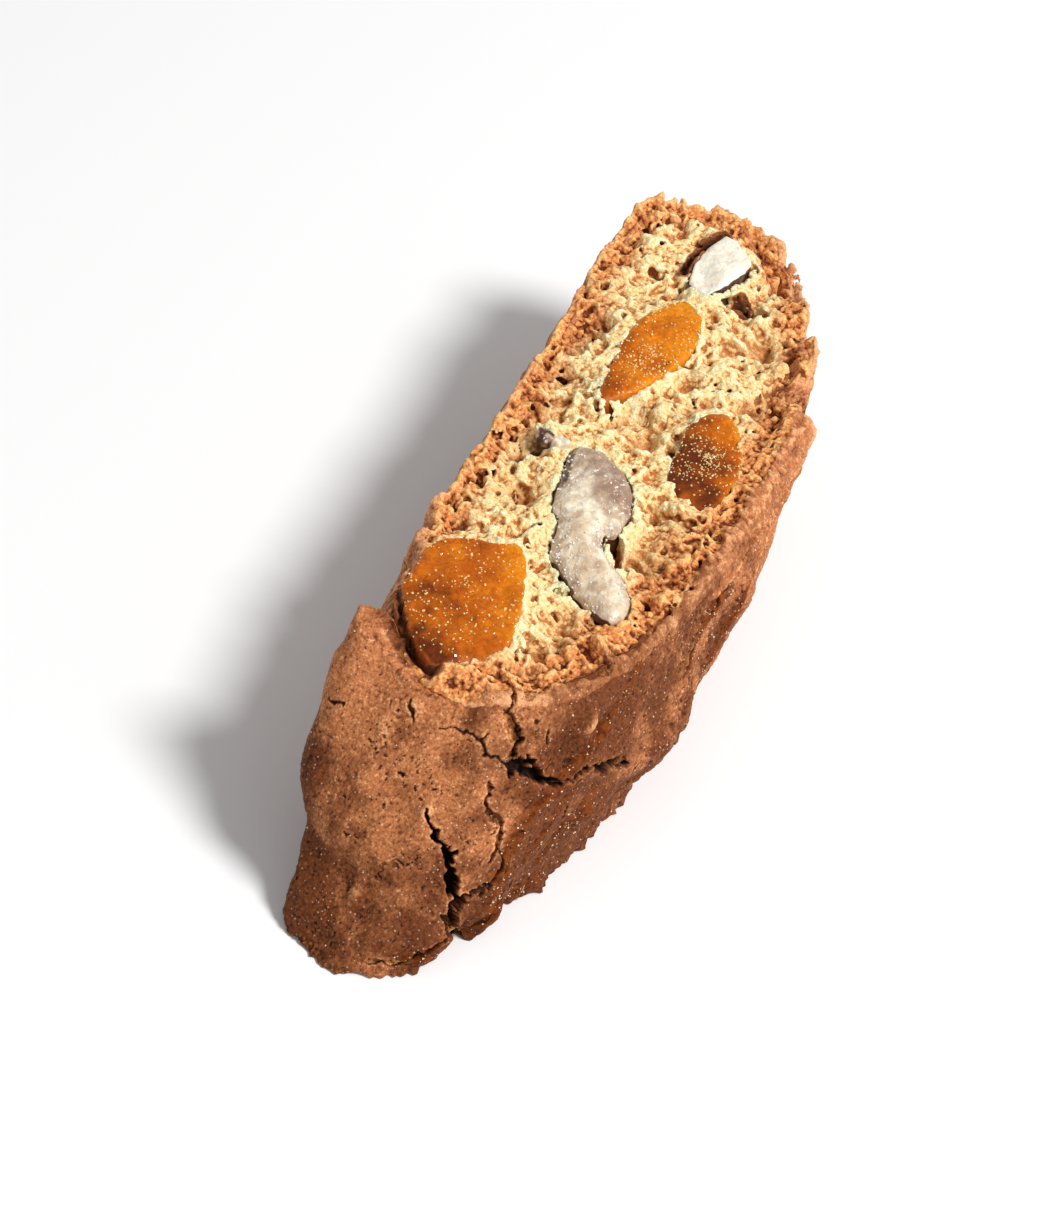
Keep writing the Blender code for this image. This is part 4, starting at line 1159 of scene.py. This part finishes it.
# A closed grid for each stretch: columns go along the rim, and rows go up the wall, in over the shown
# lip, down the inner side and out under the back one. Away from the near end it turns in under the
# crumb before it reaches the face.
def crustPieces(material):
    starts = [start for _, start, _ in crust["stretches"]]
    ends = [*starts[1:], rimLength + starts[0]]
    counts = [count for _, _, count in crust["stretches"]]
    arcs = np.concatenate([np.linspace(a, b, n) for a, b, n in zip(starts, ends, counts)])
    lipRows = np.array(crust["lip"])
    wallCount = crust["wallRows"]
    first = wallCount + len(lipRows)  # first row of the inner side
    insideIn, insideDepth = np.array(crust["inside"]).T
    wallDepth = np.linspace(thickness, 0, wallCount)
    depth = np.concatenate([wallDepth, 0 * lipRows, insideDepth])[:, None] + 0 * arcs
    isLip = np.zeros(depth.shape, bool)
    isLip[wallCount:first] = True
    onWall = np.zeros(depth.shape)
    onWall[:wallCount] = 1
    share = np.zeros(depth.shape)
    share[isLip] = np.repeat(lipRows, len(arcs))
    rolled = nearPlace(arcs, 1.4, 5.0)
    edge = np.column_stack([arcs, 0 * arcs, 0 * arcs])
    width = byRim(crust["lipWidth"], np.mod(arcs, rimLength))
    width = width + 0.35 * smoothNoise(edge, 1.3, 113) + 0.2 * smoothNoise(edge, 0.5, 114)
    width = np.maximum(width, 0.35)
    inset = share * width
    inset[first:] = insideIn[:, None]
    inset[first] = width + 0.1
    arc = np.ones(depth.shape) * arcs
    noLip = 1 - lipShare(arc)
    seam = np.maximum(seamDepth(np.mod(arc, rimLength)) - 0.5, 0.4)
    turned = np.minimum(depth + noLip * seam * (1 - step(depth, 0.0, 2 * seam)), thickness)
    points = wallPoint(arc, turned)
    points[..., :2] -= rimNormal(arc) * (inset + noLip * 1.1 * (1 - step(depth, 0.0, 1.6)))[..., None]
    along = np.gradient(points, axis=1)
    up = np.roll(points, -1, 0) - np.roll(points, 1, 0)
    normal = np.cross(along, up)
    normal /= np.linalg.norm(normal, axis=-1, keepdims=True) + 1e-12
    height, level, crack, caramel, brown = crustRelief(arc, turned, points)
    outer = onWall * np.clip((thickness - depth) / 0.5 + 0.25, 0, 1)
    outer = np.maximum(outer, isLip * (1 - 0.6 * share))
    points = points + normal * (height * outer)[..., None]
    ragged = 0.3 * smoothNoise(points, 1.1, 111) + 0.22 * smoothNoise(points, 0.45, 112)
    drop = (1 - rolled) * 0.4 * share**1.6 + rolled * 2.2 * step(share, 0.7, 1.05)
    points[..., 2] -= np.where(isLip, drop, 0)
    points[..., 2] += ragged * np.clip(1 - turned / 1.2, 0, 1) * (onWall + isLip)
    foot = np.clip(1 - (thickness - turned) / 1.4, 0, 1) * onWall
    points[..., :2] += rimNormal(arc) * (foot * (1.3 * ragged - 0.1))[..., None]
    points[first, :, 2] = np.minimum(points[first, :, 2], points[first - 1, :, 2] - 0.5)
    points[..., 2] = np.maximum(points[..., 2], 0.02)
    points[first + 4 :, :, 2] = 0.02
    points[0, :, 2] = 0.0
    # 0.5 plus how far each sample lies under the mean of those round it, which paints shade in hollows and
    # light on bumps
    cavityShading = np.clip(0.5 + (boxMean(level[..., None], 3)[..., 0] - level) / 0.22, 0, 1)
    broken = isLip * step(share + 0.5 * ragged, 0.2, 0.7) * (1 - rolled)
    flank = isLip * nearPlace(arcs, 3.6, 6.0) * step(share, 0.2, 0.6)  # burnt inner side of the flake
    values = {
        "crust": 1 - 0.8 * broken, "crack": crack * outer, "caramel": caramel * onWall,
        "brown": brown + 1.4 * flank, "toast": np.ones(inset.shape), "hollowShade": 0 * inset, "cavityShading": cavityShading,
    }
    pieces = []
    rows = depth.shape[0]
    low = 0
    for (name, _, _), count in zip(crust["stretches"], counts):
        part = slice(low, low + count)
        low += count
        index = np.arange(rows * count).reshape(rows, count)
        quads = gridQuads(np.vstack([index, index[:1]]))
        startCap, endCap = (capTriangles(index[:, k], first, depth[:, 0]) for k in (0, -1))
        caps = np.vstack([startCap[:, ::-1], endCap])
        here = {key: value[:, part].copy() for key, value in values.items()}
        piece = makeMesh(name, points[:, part].reshape(-1, 3), quads, caps, here, material)
        flatFrom(piece, len(quads))
        print(name, "has", 2 * len(quads) + len(caps), "triangles")
        pieces.append(piece)
    return pieces


doughFinish = bakedDough()
doughPieces = crumbPieces("shown", doughFinish) + crumbPieces("back", doughFinish) + crustPieces(doughFinish)
for piece in doughPieces:
    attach(piece, "root")
    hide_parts("biscuit")
print("crumb and crust made")


# A closed chunk from its outline: rows run from the middle of the top, out over it, down the tapering
# wall and in again at the bottom. The top falls along a quarter circle as it nears the outline.
def chunk(name, shape, grid, relief, material):
    columns, topRows, wallRows, bottomRows = grid
    xy = inlayOutline(shape, columns)
    if np.sum(xy[:, 0] * np.roll(xy[:, 1], -1) - xy[:, 1] * np.roll(xy[:, 0], -1)) < 0:
        xy = xy[::-1]
    centre = xy.mean(0)
    low = 0.3 if shape["bottom"] is None else shape["bottom"]  # one that runs through ends over the floor
    high = thickness + shape["top"]
    crown = shape["crown"]
    topShare = 1 - (1 - np.linspace(0, 1, topRows + 1)[1:]) ** 1.6
    flat = (centre + (xy - centre)[None] * topShare[:, None, None]).reshape(-1, 2)
    inside = np.clip(-outlineDistance(flat, inlayOutline(shape, 400)) / shape["round"], 0, 1)
    inside = inside.reshape(topRows, columns)
    topZ = high - crown * (1 - np.sqrt(1 - (1 - inside) ** 2))
    topZ[-1] = high - crown
    wallZ = np.linspace(high - crown, low + crown, wallRows + 2)[1:-1]
    v = np.linspace(1, 0, bottomRows + 1)[:-1]
    bottomZ = low + crown * (1 - np.sqrt(1 - v**2))
    share = np.concatenate([topShare, np.ones(wallRows), v])
    z = np.vstack([topZ, np.concatenate([wallZ, bottomZ])[:, None] + np.zeros(columns)])
    sunk = (thickness - z) / thickness
    size = (1 - (1 - shape["taper"]) * sunk) * share[:, None]
    ring = centre + (xy - centre)[None] * size[..., None]
    ring[..., 0] -= shape["lean"] * sunk
    points = np.concatenate([ring, z[..., None]], -1)
    top = np.append(points[0, :, :2].mean(0), points[0, :, 2].mean())
    bottom = np.append(points[-1, :, :2].mean(0), low)
    count = len(z) * columns
    index = np.arange(count).reshape(len(z), columns)
    index = np.column_stack([index, index[:, :1]])
    first, last = index[0], index[-1]
    fans = np.vstack([np.stack([first[:-1], first[1:], np.full(columns, count)], -1),
                      np.stack([last[1:], last[:-1], np.full(columns, count + 1)], -1)])
    allPoints = np.vstack([points.reshape(-1, 3), top, bottom])
    allShare = np.concatenate([np.repeat(np.where(np.arange(len(z)) < topRows, share, 2.0), columns), [0, 2]])
    edge = np.concatenate([1 - inside.ravel(), np.ones(count - inside.size), [0, 1]])
    outward = np.vstack([np.repeat((xy - centre)[None], len(z), 0).reshape(-1, 2), [[0, 0], [0, 0]]])
    outward /= np.linalg.norm(outward, axis=1)[:, None] + 1e-9
    lift, push, values = relief(allPoints, allShare, edge, shape)
    allPoints[:, 2] += lift
    allPoints[:, :2] += outward * push[:, None]
    return makeMesh(name, allPoints, gridQuads(index)[:, ::-1], fans, values, material)


# Colours as a picture's values from 0 to 255.
fruit = {
    "bright": (232, 138, 18),
    "amber": (192, 96, 8),
    # the deep tone is also painted on the sides of the fruit as shade
    "deep": (104, 42, 8),
    "edge": (206, 120, 60),
    "clear": (1.6, 0.5, 0.08),  # how far red, green and blue light go in
}


# Candied fruit is clear enough for light to go in. It is brighter where the value amber is high, partly as
# painted light, darker in soft clouds, paler at its cut edge, and painted dark on its sides as shade.
def candiedFruit():
    s = Shader("candied_fruit")
    c = {key: colour(*fruit[key]) for key in ("bright", "amber", "deep", "edge")}
    clouds = s.plus(s.times(s.noise(4.0, 2.0), 1.2), s.times(s.noise(1.3), 0.4))
    amber = s.plus(s.value("amber"), s.swing(clouds, 1.2, 0.8))
    base = s.mix(s.spread(amber, 0.0, 0.5), c["deep"], c["amber"])
    base = s.mix(s.spread(amber, 0.45, 1.0), base, c["bright"])
    base = s.mix(s.times(s.value("edge"), 0.6), base, c["edge"])
    # Painted shade on the sides of each piece.
    base = s.mix(s.times(s.value("wall"), 0.75), base, c["deep"])
    base = s.mix(1.0, base, s.spread(s.noise(0.4), 0.3, 0.7, (0.8, 1.15)), "MULTIPLY")
    return s.finish(
        bumps=((s.noise(0.8), 0.2), (s.noise(0.25, 2.0), 0.06)),
        Base_Color=base, Roughness=s.spread(s.noise(0.6, 2.0), 0.3, 0.7, (0.3, 0.5)),
        Specular_IOR_Level=0.14, Subsurface_Weight=0.6, Subsurface_Radius=fruit["clear"],
        Subsurface_Scale=1.2 * mm, Coat_Weight=0.05, Coat_Roughness=0.2,
    )


# A relief gives the lift of a chunk's points, their push outwards and the values of its finish. The
# share is below 1.5 on the top, and the edge goes up to 1 at the outline. On fruit the cut top is softly
# uneven, and amber grows towards the far dome side, partly painted light across each piece; its sides get
# painted shade.
def fruitRelief(points, share, edge, shape):
    lift = (0.16 * slopeNoise(points, 3.0, 121) + 0.08 * slopeNoise(points, 1.1, 122)) * (share < 1.5)
    push = 0.2 * slopeNoise(points, 1.8, 123) * (share > 0.8)
    low, high = points[:, :2].min(0), points[:, :2].max(0)
    across = (points[:, :2] - low) / (high - low)
    # Painted light and shade: amber grows across the piece towards the far dome side.
    amber = shape["amber"] + 0.75 * (across[:, 0] - 0.7 * across[:, 1]) + 0.15 * step(edge, 0.5, 1.0)
    edge = step(edge, 0.8, 1.0) * step(points[:, 1], 1.0, 5.0)
    # The wall value is painted shade on the sides.
    return lift, push, {"amber": np.clip(amber, 0, 1), "edge": edge, "wall": step(share, 1.2, 1.6)}


# Colours as a picture's values from 0 to 255.
nut = {
    "cream": (220, 193, 160),
    "white": (252, 240, 214),
    "chalk": (255, 246, 228),
    "grey": (148, 112, 94),
    "rose": (214, 182, 150),
    "skin": (74, 38, 26),
}


# Nut kernel: cream flesh with faint fibres, grey where the value grey is high, partly painted shade, chalk
# white where it was freshly cut, and brown skin where the value skin is high.
def nutFlesh():
    s = Shader("nut_flesh")
    c = {key: colour(*nut[key]) for key in nut}
    fibre = s.noise(0.5)
    base = s.mix(s.spread(s.noise(1.8), 0.38, 0.66), c["cream"], c["white"])
    base = s.mix(s.times(s.spread(s.noise(2.6, 2.0), 0.5, 0.7), 0.45), base, c["rose"])
    fresh = s.times(s.value("chalk"), s.spread(s.noise(1.5), 0.35, 0.6, (0.6, 1.0)))
    base = s.mix(fresh, base, c["chalk"])
    grey = s.plus(s.value("grey"), s.swing(s.noise(1.2, 5.0), 1.6))
    base = s.mix(s.spread(grey, 0.1, 1.1, (0.0, 0.9)), base, c["grey"])
    base = s.mix(s.times(s.spread(fibre, 0.62, 0.7), s.value("grey")), base, c["chalk"])
    skin = s.plus(s.value("skin"), s.swing(s.noise(0.5, 2.0), 0.7))
    base = s.mix(s.spread(skin, 0.4, 0.75), base, c["skin"])
    base = s.mix(1.0, base, s.spread(fibre, 0.3, 0.7, (0.88, 1.08)), "MULTIPLY")
    return s.finish(
        bumps=((s.noise(0.3, 2.0), 0.08), (s.noise(1.1), 0.24)),
        Base_Color=base, Roughness=0.34, Specular_IOR_Level=0.5, Subsurface_Weight=0.3,
        Subsurface_Radius=(1.0, 0.7, 0.45), Subsurface_Scale=1.0 * mm, Coat_Weight=0.35, Coat_Roughness=0.18,
    )


# The kernel swells over both of its ends, is grey on its far lobe, is greyed by painted shade round its
# outline and on the -Y side of its near end, and has skin round its lower edge.
def kernelRelief(points, share, edge, shape):
    x, y = points[:, 0], points[:, 1]
    top = share < 1.5
    greyAndShade = step(x, -4.5, 0.5) * (0.35 + 0.65 * step(0.5 * x - 0.9 * y, -2.4, 2.4))
    # painted shade on the -Y side of the near end
    greyAndShade += 0.3 * step(-y - 0.6 * x, 5.0, 9.0)
    lift = 0.16 * slopeNoise(points, 3.0, 131) + 0.12 * slopeNoise(points, 1.2, 132)
    swell = 0.3 * bump(np.hypot(x + 7.5, y + 2.2), 0.0, 3.4)
    swell += 0.2 * bump(np.hypot(x - 2.5, y - 0.5), 0.0, 2.6)
    push = 0.14 * slopeNoise(points, 1.3, 133) * (share > 0.8)
    skin = step(edge, 0.9, 1.0) * step(slopeNoise(points, 2.4, 134), -0.6, 0.0)
    skin = np.maximum(skin, step(share, 1.5, 1.9))
    skin = np.maximum(skin, 0.75 * step(edge, 0.45, 0.9) * step(y - 0.2 * x, 1.6, 3.0) * step(x, -2.0, 1.0))
    # painted shade greying the outline
    greyAndShade = np.maximum(greyAndShade, 0.5 * step(edge, 0.35, 0.95))
    return (lift + swell) * top, push, {"grey": greyAndShade * top, "skin": skin, "chalk": 0 * x}


# The chip was cut across, so its top is two flat facets of chalk white.
def chipRelief(points, share, edge, shape):
    x, y = points[:, 0], points[:, 1]
    top = share < 1.5
    facet = 0.35 * np.clip((x - 34.4) * 0.6 - (y - 2.0) * 0.8, -1.0, 1.0) * (1 - edge)
    lift = (facet + 0.08 * slopeNoise(points, 1.2, 151)) * top
    push = 0.12 * slopeNoise(points, 1.0, 153) * (share > 0.8)
    skin = 0.9 * step(edge, 0.8, 1.0) * step(-y - 0.4 * x + 15.5, 0.0, 1.0)
    skin = np.maximum(skin, step(share, 1.5, 1.9))
    return lift, push, {"grey": 0 * x, "skin": skin, "chalk": 1.0 * top}


# Columns round a chunk, then rows of its top, its wall and its bottom.
chunkGrid = {"piece": (200, 44, 24, 10), "chip": (60, 16, 8, 4)}
finishes = {"candied_fruit": candiedFruit(), "nut": nutFlesh()}
inlaid = []
for name, relief, slotName in (
    ("fruit_large", fruitRelief, "candied_fruit"),
    ("fruit_upper", fruitRelief, "candied_fruit"),
    ("fruit_right", fruitRelief, "candied_fruit"),
    ("nut_kernel", kernelRelief, "nut"),
    ("nut_chip", chipRelief, "nut"),
):
    piece = chunk(name + "_piece", inlays[name], chunkGrid["piece"], relief, finishes[slotName])
    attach(piece, "root")
    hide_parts(name)
    inlaid.append(piece)

# A scrap of dark nut skin, half in the crumb.
skinChip = {
    "outline": ((4.4, 6.7), (4.7, 7.8), (5.7, 8.1), (6.3, 6.9), (5.8, 5.4), (5.1, 4.6), (4.6, 5.6)),
    "top": 1.0, "bottom": 17.6, "lean": 0.0, "taper": 0.9, "crown": 0.4, "round": 0.6,
}


# The scrap is folded by a noise that is finer across it, and paler where a second noise is low.
def skinRelief(points, share, edge, shape):
    fold = slopeNoise(points * [1, 2.2, 1], 0.9, 161)
    skin = (0.62 + 0.4 * slopeNoise(points, 0.8, 162)) * step(points[:, 1], 5.6, 6.6)
    return 0.2 * fold * (share < 1.5), 0.15 * fold, {"grey": 0.3 + 0 * skin, "skin": skin, "chalk": 0 * skin}


piece = chunk("skin_chip", skinChip, chunkGrid["chip"], skinRelief, finishes["nut"])
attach(piece, "root")
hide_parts("nut_kernel")
print("fruit and nuts made")

# Grains of sugar, some of them painted glints, by the piece they lie on.
sugar = {
    "colours": {"candied_fruit": (255, 212, 140), "nut": (255, 246, 232), "biscuit": (250, 214, 170)},
    "grains": (
        # name, node, slot, piece, count, smallest and largest half size
        ("sugar_large", "fruit_large", "candied_fruit", "fruit_large_piece", 300, 0.045, 0.1),
        ("sugar_upper", "fruit_upper", "candied_fruit", "fruit_upper_piece", 320, 0.045, 0.095),
        ("sugar_right", "fruit_right", "candied_fruit", "fruit_right_piece", 320, 0.045, 0.09),
        # on the kernel and on the crust the pale grains are sugar and painted glints
        ("sugar_glint_kernel", "nut_kernel", "nut", "nut_kernel_piece", 260, 0.05, 0.1),
        ("sugar_glint_end", "biscuit", "biscuit", "crust_end", 220, 0.03, 0.075),
        ("sugar_glint_side", "biscuit", "biscuit", "crust_side", 240, 0.03, 0.07),
    ),
}


# A grain lets some light in and takes the tone of what it lies on; on the nut the grains are near white,
# partly painted glints.
def sugarFinish(slotName):
    s = Shader("sugar_on_" + slotName)
    return s.finish(Base_Color=colour(*sugar["colours"][slotName]), Roughness=0.25, Specular_IOR_Level=0.6,
                    Subsurface_Weight=0.4, Subsurface_Radius=(1.0, 0.8, 0.5), Subsurface_Scale=0.3 * mm)


# Small boxes with a narrower top, each turned at random and half sunk at a vertex of the piece below.
# Vertices are drawn more often where a soft noise is high, and on crust where caramel lies.
def sugarGrains(name, below, count, small, large, seed, finish):
    mesh = below.data
    spots, normals = np.empty(3 * len(mesh.vertices)), np.empty(3 * len(mesh.vertices))
    mesh.vertices.foreach_get("co", spots)
    mesh.vertices.foreach_get("normal", normals)
    spots, normals = spots.reshape(-1, 3) / mm + [*loaf["middle"], 0.0], normals.reshape(-1, 3)
    chance = step(smoothNoise(spots, 2.6, seed), -0.6, 0.7) + 0.1
    if "caramel" in mesh.attributes:
        caramel, cracked = np.empty(len(spots)), np.empty(len(spots))
        mesh.attributes["caramel"].data.foreach_get("value", caramel)
        mesh.attributes["crack"].data.foreach_get("value", cracked)
        outside = np.sum(normals * (spots - [5.0, 0.0, 0.5 * thickness]), 1) > 0
        chance *= (0.12 + caramel) * (cracked < 0.05) * outside * (spots[:, 2] > 0.5)
    else:
        chance *= (normals[:, 2] > 0.4) * (spots[:, 2] > thickness - 0.6)
    rng = np.random.default_rng(seed)
    chosen = rng.choice(len(spots), count, p=chance / chance.sum())
    half = small + (large - small) * rng.random((count, 1)) ** 2 * rng.uniform(0.7, 1.3, (count, 3))
    box = np.array([(x, y, z) for x in (-1, 1) for y in (-1, 1) for z in (-1, 1)]) * 1.0
    box[box[:, 2] > 0, :2] *= 0.6
    q = rng.normal(size=(count, 4))
    w, x, y, z = (q / np.linalg.norm(q, axis=1, keepdims=True)).T
    turned = np.stack([
        np.stack([1 - 2 * (y * y + z * z), 2 * (x * y - z * w), 2 * (x * z + y * w)], -1),
        np.stack([2 * (x * y + z * w), 1 - 2 * (x * x + z * z), 2 * (y * z - x * w)], -1),
        np.stack([2 * (x * z - y * w), 2 * (y * z + x * w), 1 - 2 * (x * x + y * y)], -1),
    ], 1)
    corners = np.einsum("nij,nkj->nki", turned, box[None] * half[:, None])
    corners += (spots[chosen] + 0.35 * half.mean(1)[:, None] * normals[chosen])[:, None]
    faces = np.array([(0, 1, 3, 2), (4, 6, 7, 5), (0, 4, 5, 1), (2, 3, 7, 6), (0, 2, 6, 4), (1, 5, 7, 3)])
    quads = (faces[None] + 8 * np.arange(count)[:, None, None]).reshape(-1, 4)
    made = makeMesh(name, corners.reshape(-1, 3), quads, [], {}, finish)
    made.data.shade_flat()
    return made


sugarFinishes = {slotName: sugarFinish(slotName) for slotName in sugar["colours"]}
layers = {piece.name: piece for piece in [*doughPieces, *inlaid]}
for seed, (name, node, slotName, below, count, small, large) in enumerate(sugar["grains"]):
    piece = sugarGrains(name, layers[below], count, small, large, 201 + seed, sugarFinishes[slotName])
    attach(piece, "root")
    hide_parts(node)
print("sugar strewn")

# Floor, lights and camera.
studio = {
    "floor": (0.93, 0.93, 0.93),
    "floorSize": 1.6,
    "world": 0.4,
    "distance": 0.45,  # metres from the camera to the point it looks at
    "azimuth": -72.24, "elevation": 42.41, "roll": 7.84,
    "target": (3.97, 6.91, 0.0),  # millimetres
    "focal": 142.2,
    # name, azimuth, elevation, distance in metres, size in metres, watts
    "lights": (("key", -4.0, 52.0, 0.8, 0.22, 6.2),),
}


# The direction from the object at an azimuth and elevation, in degrees: azimuth 0 is in front (-Y).
def outward(azimuth, elevation):
    a, e = math.radians(azimuth), math.radians(elevation)
    return np.array([math.sin(a) * math.cos(e), -math.cos(a) * math.cos(e), math.sin(e)])


# An object's axes as columns: it looks back along -Z at the target, turned by roll about that line.
def aimed(back, roll=0.0):
    right = np.cross(-back, [0, 0, 1])
    right /= np.linalg.norm(right)
    up = np.cross(right, -back)
    c, s = math.cos(math.radians(roll)), math.sin(math.radians(roll))
    return np.column_stack([c * right + s * up, -s * right + c * up, back])


# An object for a lamp or camera at a position in metres, with its axes as columns.
def placed(thing, position, axes):
    matrix = np.eye(4)
    matrix[:3, :3], matrix[:3, 3] = axes, position
    thing.matrix_world = Matrix(matrix.tolist())
    bpy.context.scene.collection.objects.link(thing)


# A white floor just under the slice, a white sky, and the lamps, each aimed at the origin.
def makeStage():
    half = studio["floorSize"] / 2
    mesh = bpy.data.meshes.new("floor")
    corners = [(-half, -half, 0), (half, -half, 0), (half, half, 0), (-half, half, 0)]
    mesh.from_pydata(corners, [], [(0, 1, 2, 3)])
    paper = Shader("floor_paper").finish(
        Base_Color=(*studio["floor"], 1.0), Roughness=0.9, Specular_IOR_Level=0.1
    )
    mesh.materials.append(paper)
    floor = bpy.data.objects.new("floor", mesh)
    floor.location.z = -0.0002
    bpy.context.scene.collection.objects.link(floor)
    world = bpy.data.worlds.new("studio")
    world.use_nodes = True
    sky = world.node_tree.nodes["Background"]
    sky.inputs["Color"].default_value = (1, 1, 1, 1)
    sky.inputs["Strength"].default_value = studio["world"]
    bpy.context.scene.world = world
    for name, azimuth, elevation, distance, size, watts in studio["lights"]:
        lamp = bpy.data.lights.new(name, "AREA")
        lamp.shape, lamp.size, lamp.energy = "DISK", size, watts
        back = outward(azimuth, elevation)
        placed(bpy.data.objects.new(name, lamp), back * distance, aimed(back))


# The camera looks at the target from its distance, so that the slice falls where it is in the photo.
def makeCamera():
    lens = bpy.data.cameras.new("camera")
    lens.sensor_fit, lens.sensor_height, lens.sensor_width = "VERTICAL", 36.0, 36.0
    lens.lens, lens.clip_start, lens.clip_end = studio["focal"], 0.01, 10.0
    back = outward(studio["azimuth"], studio["elevation"])
    eye = bpy.data.objects.new("camera", lens)
    placed(eye, np.array(studio["target"]) * mm + back * studio["distance"], aimed(back, studio["roll"]))
    bpy.context.scene.camera = eye


makeStage()
makeCamera()
bpy.context.scene.view_settings.view_transform = "Standard"
print("stage set")
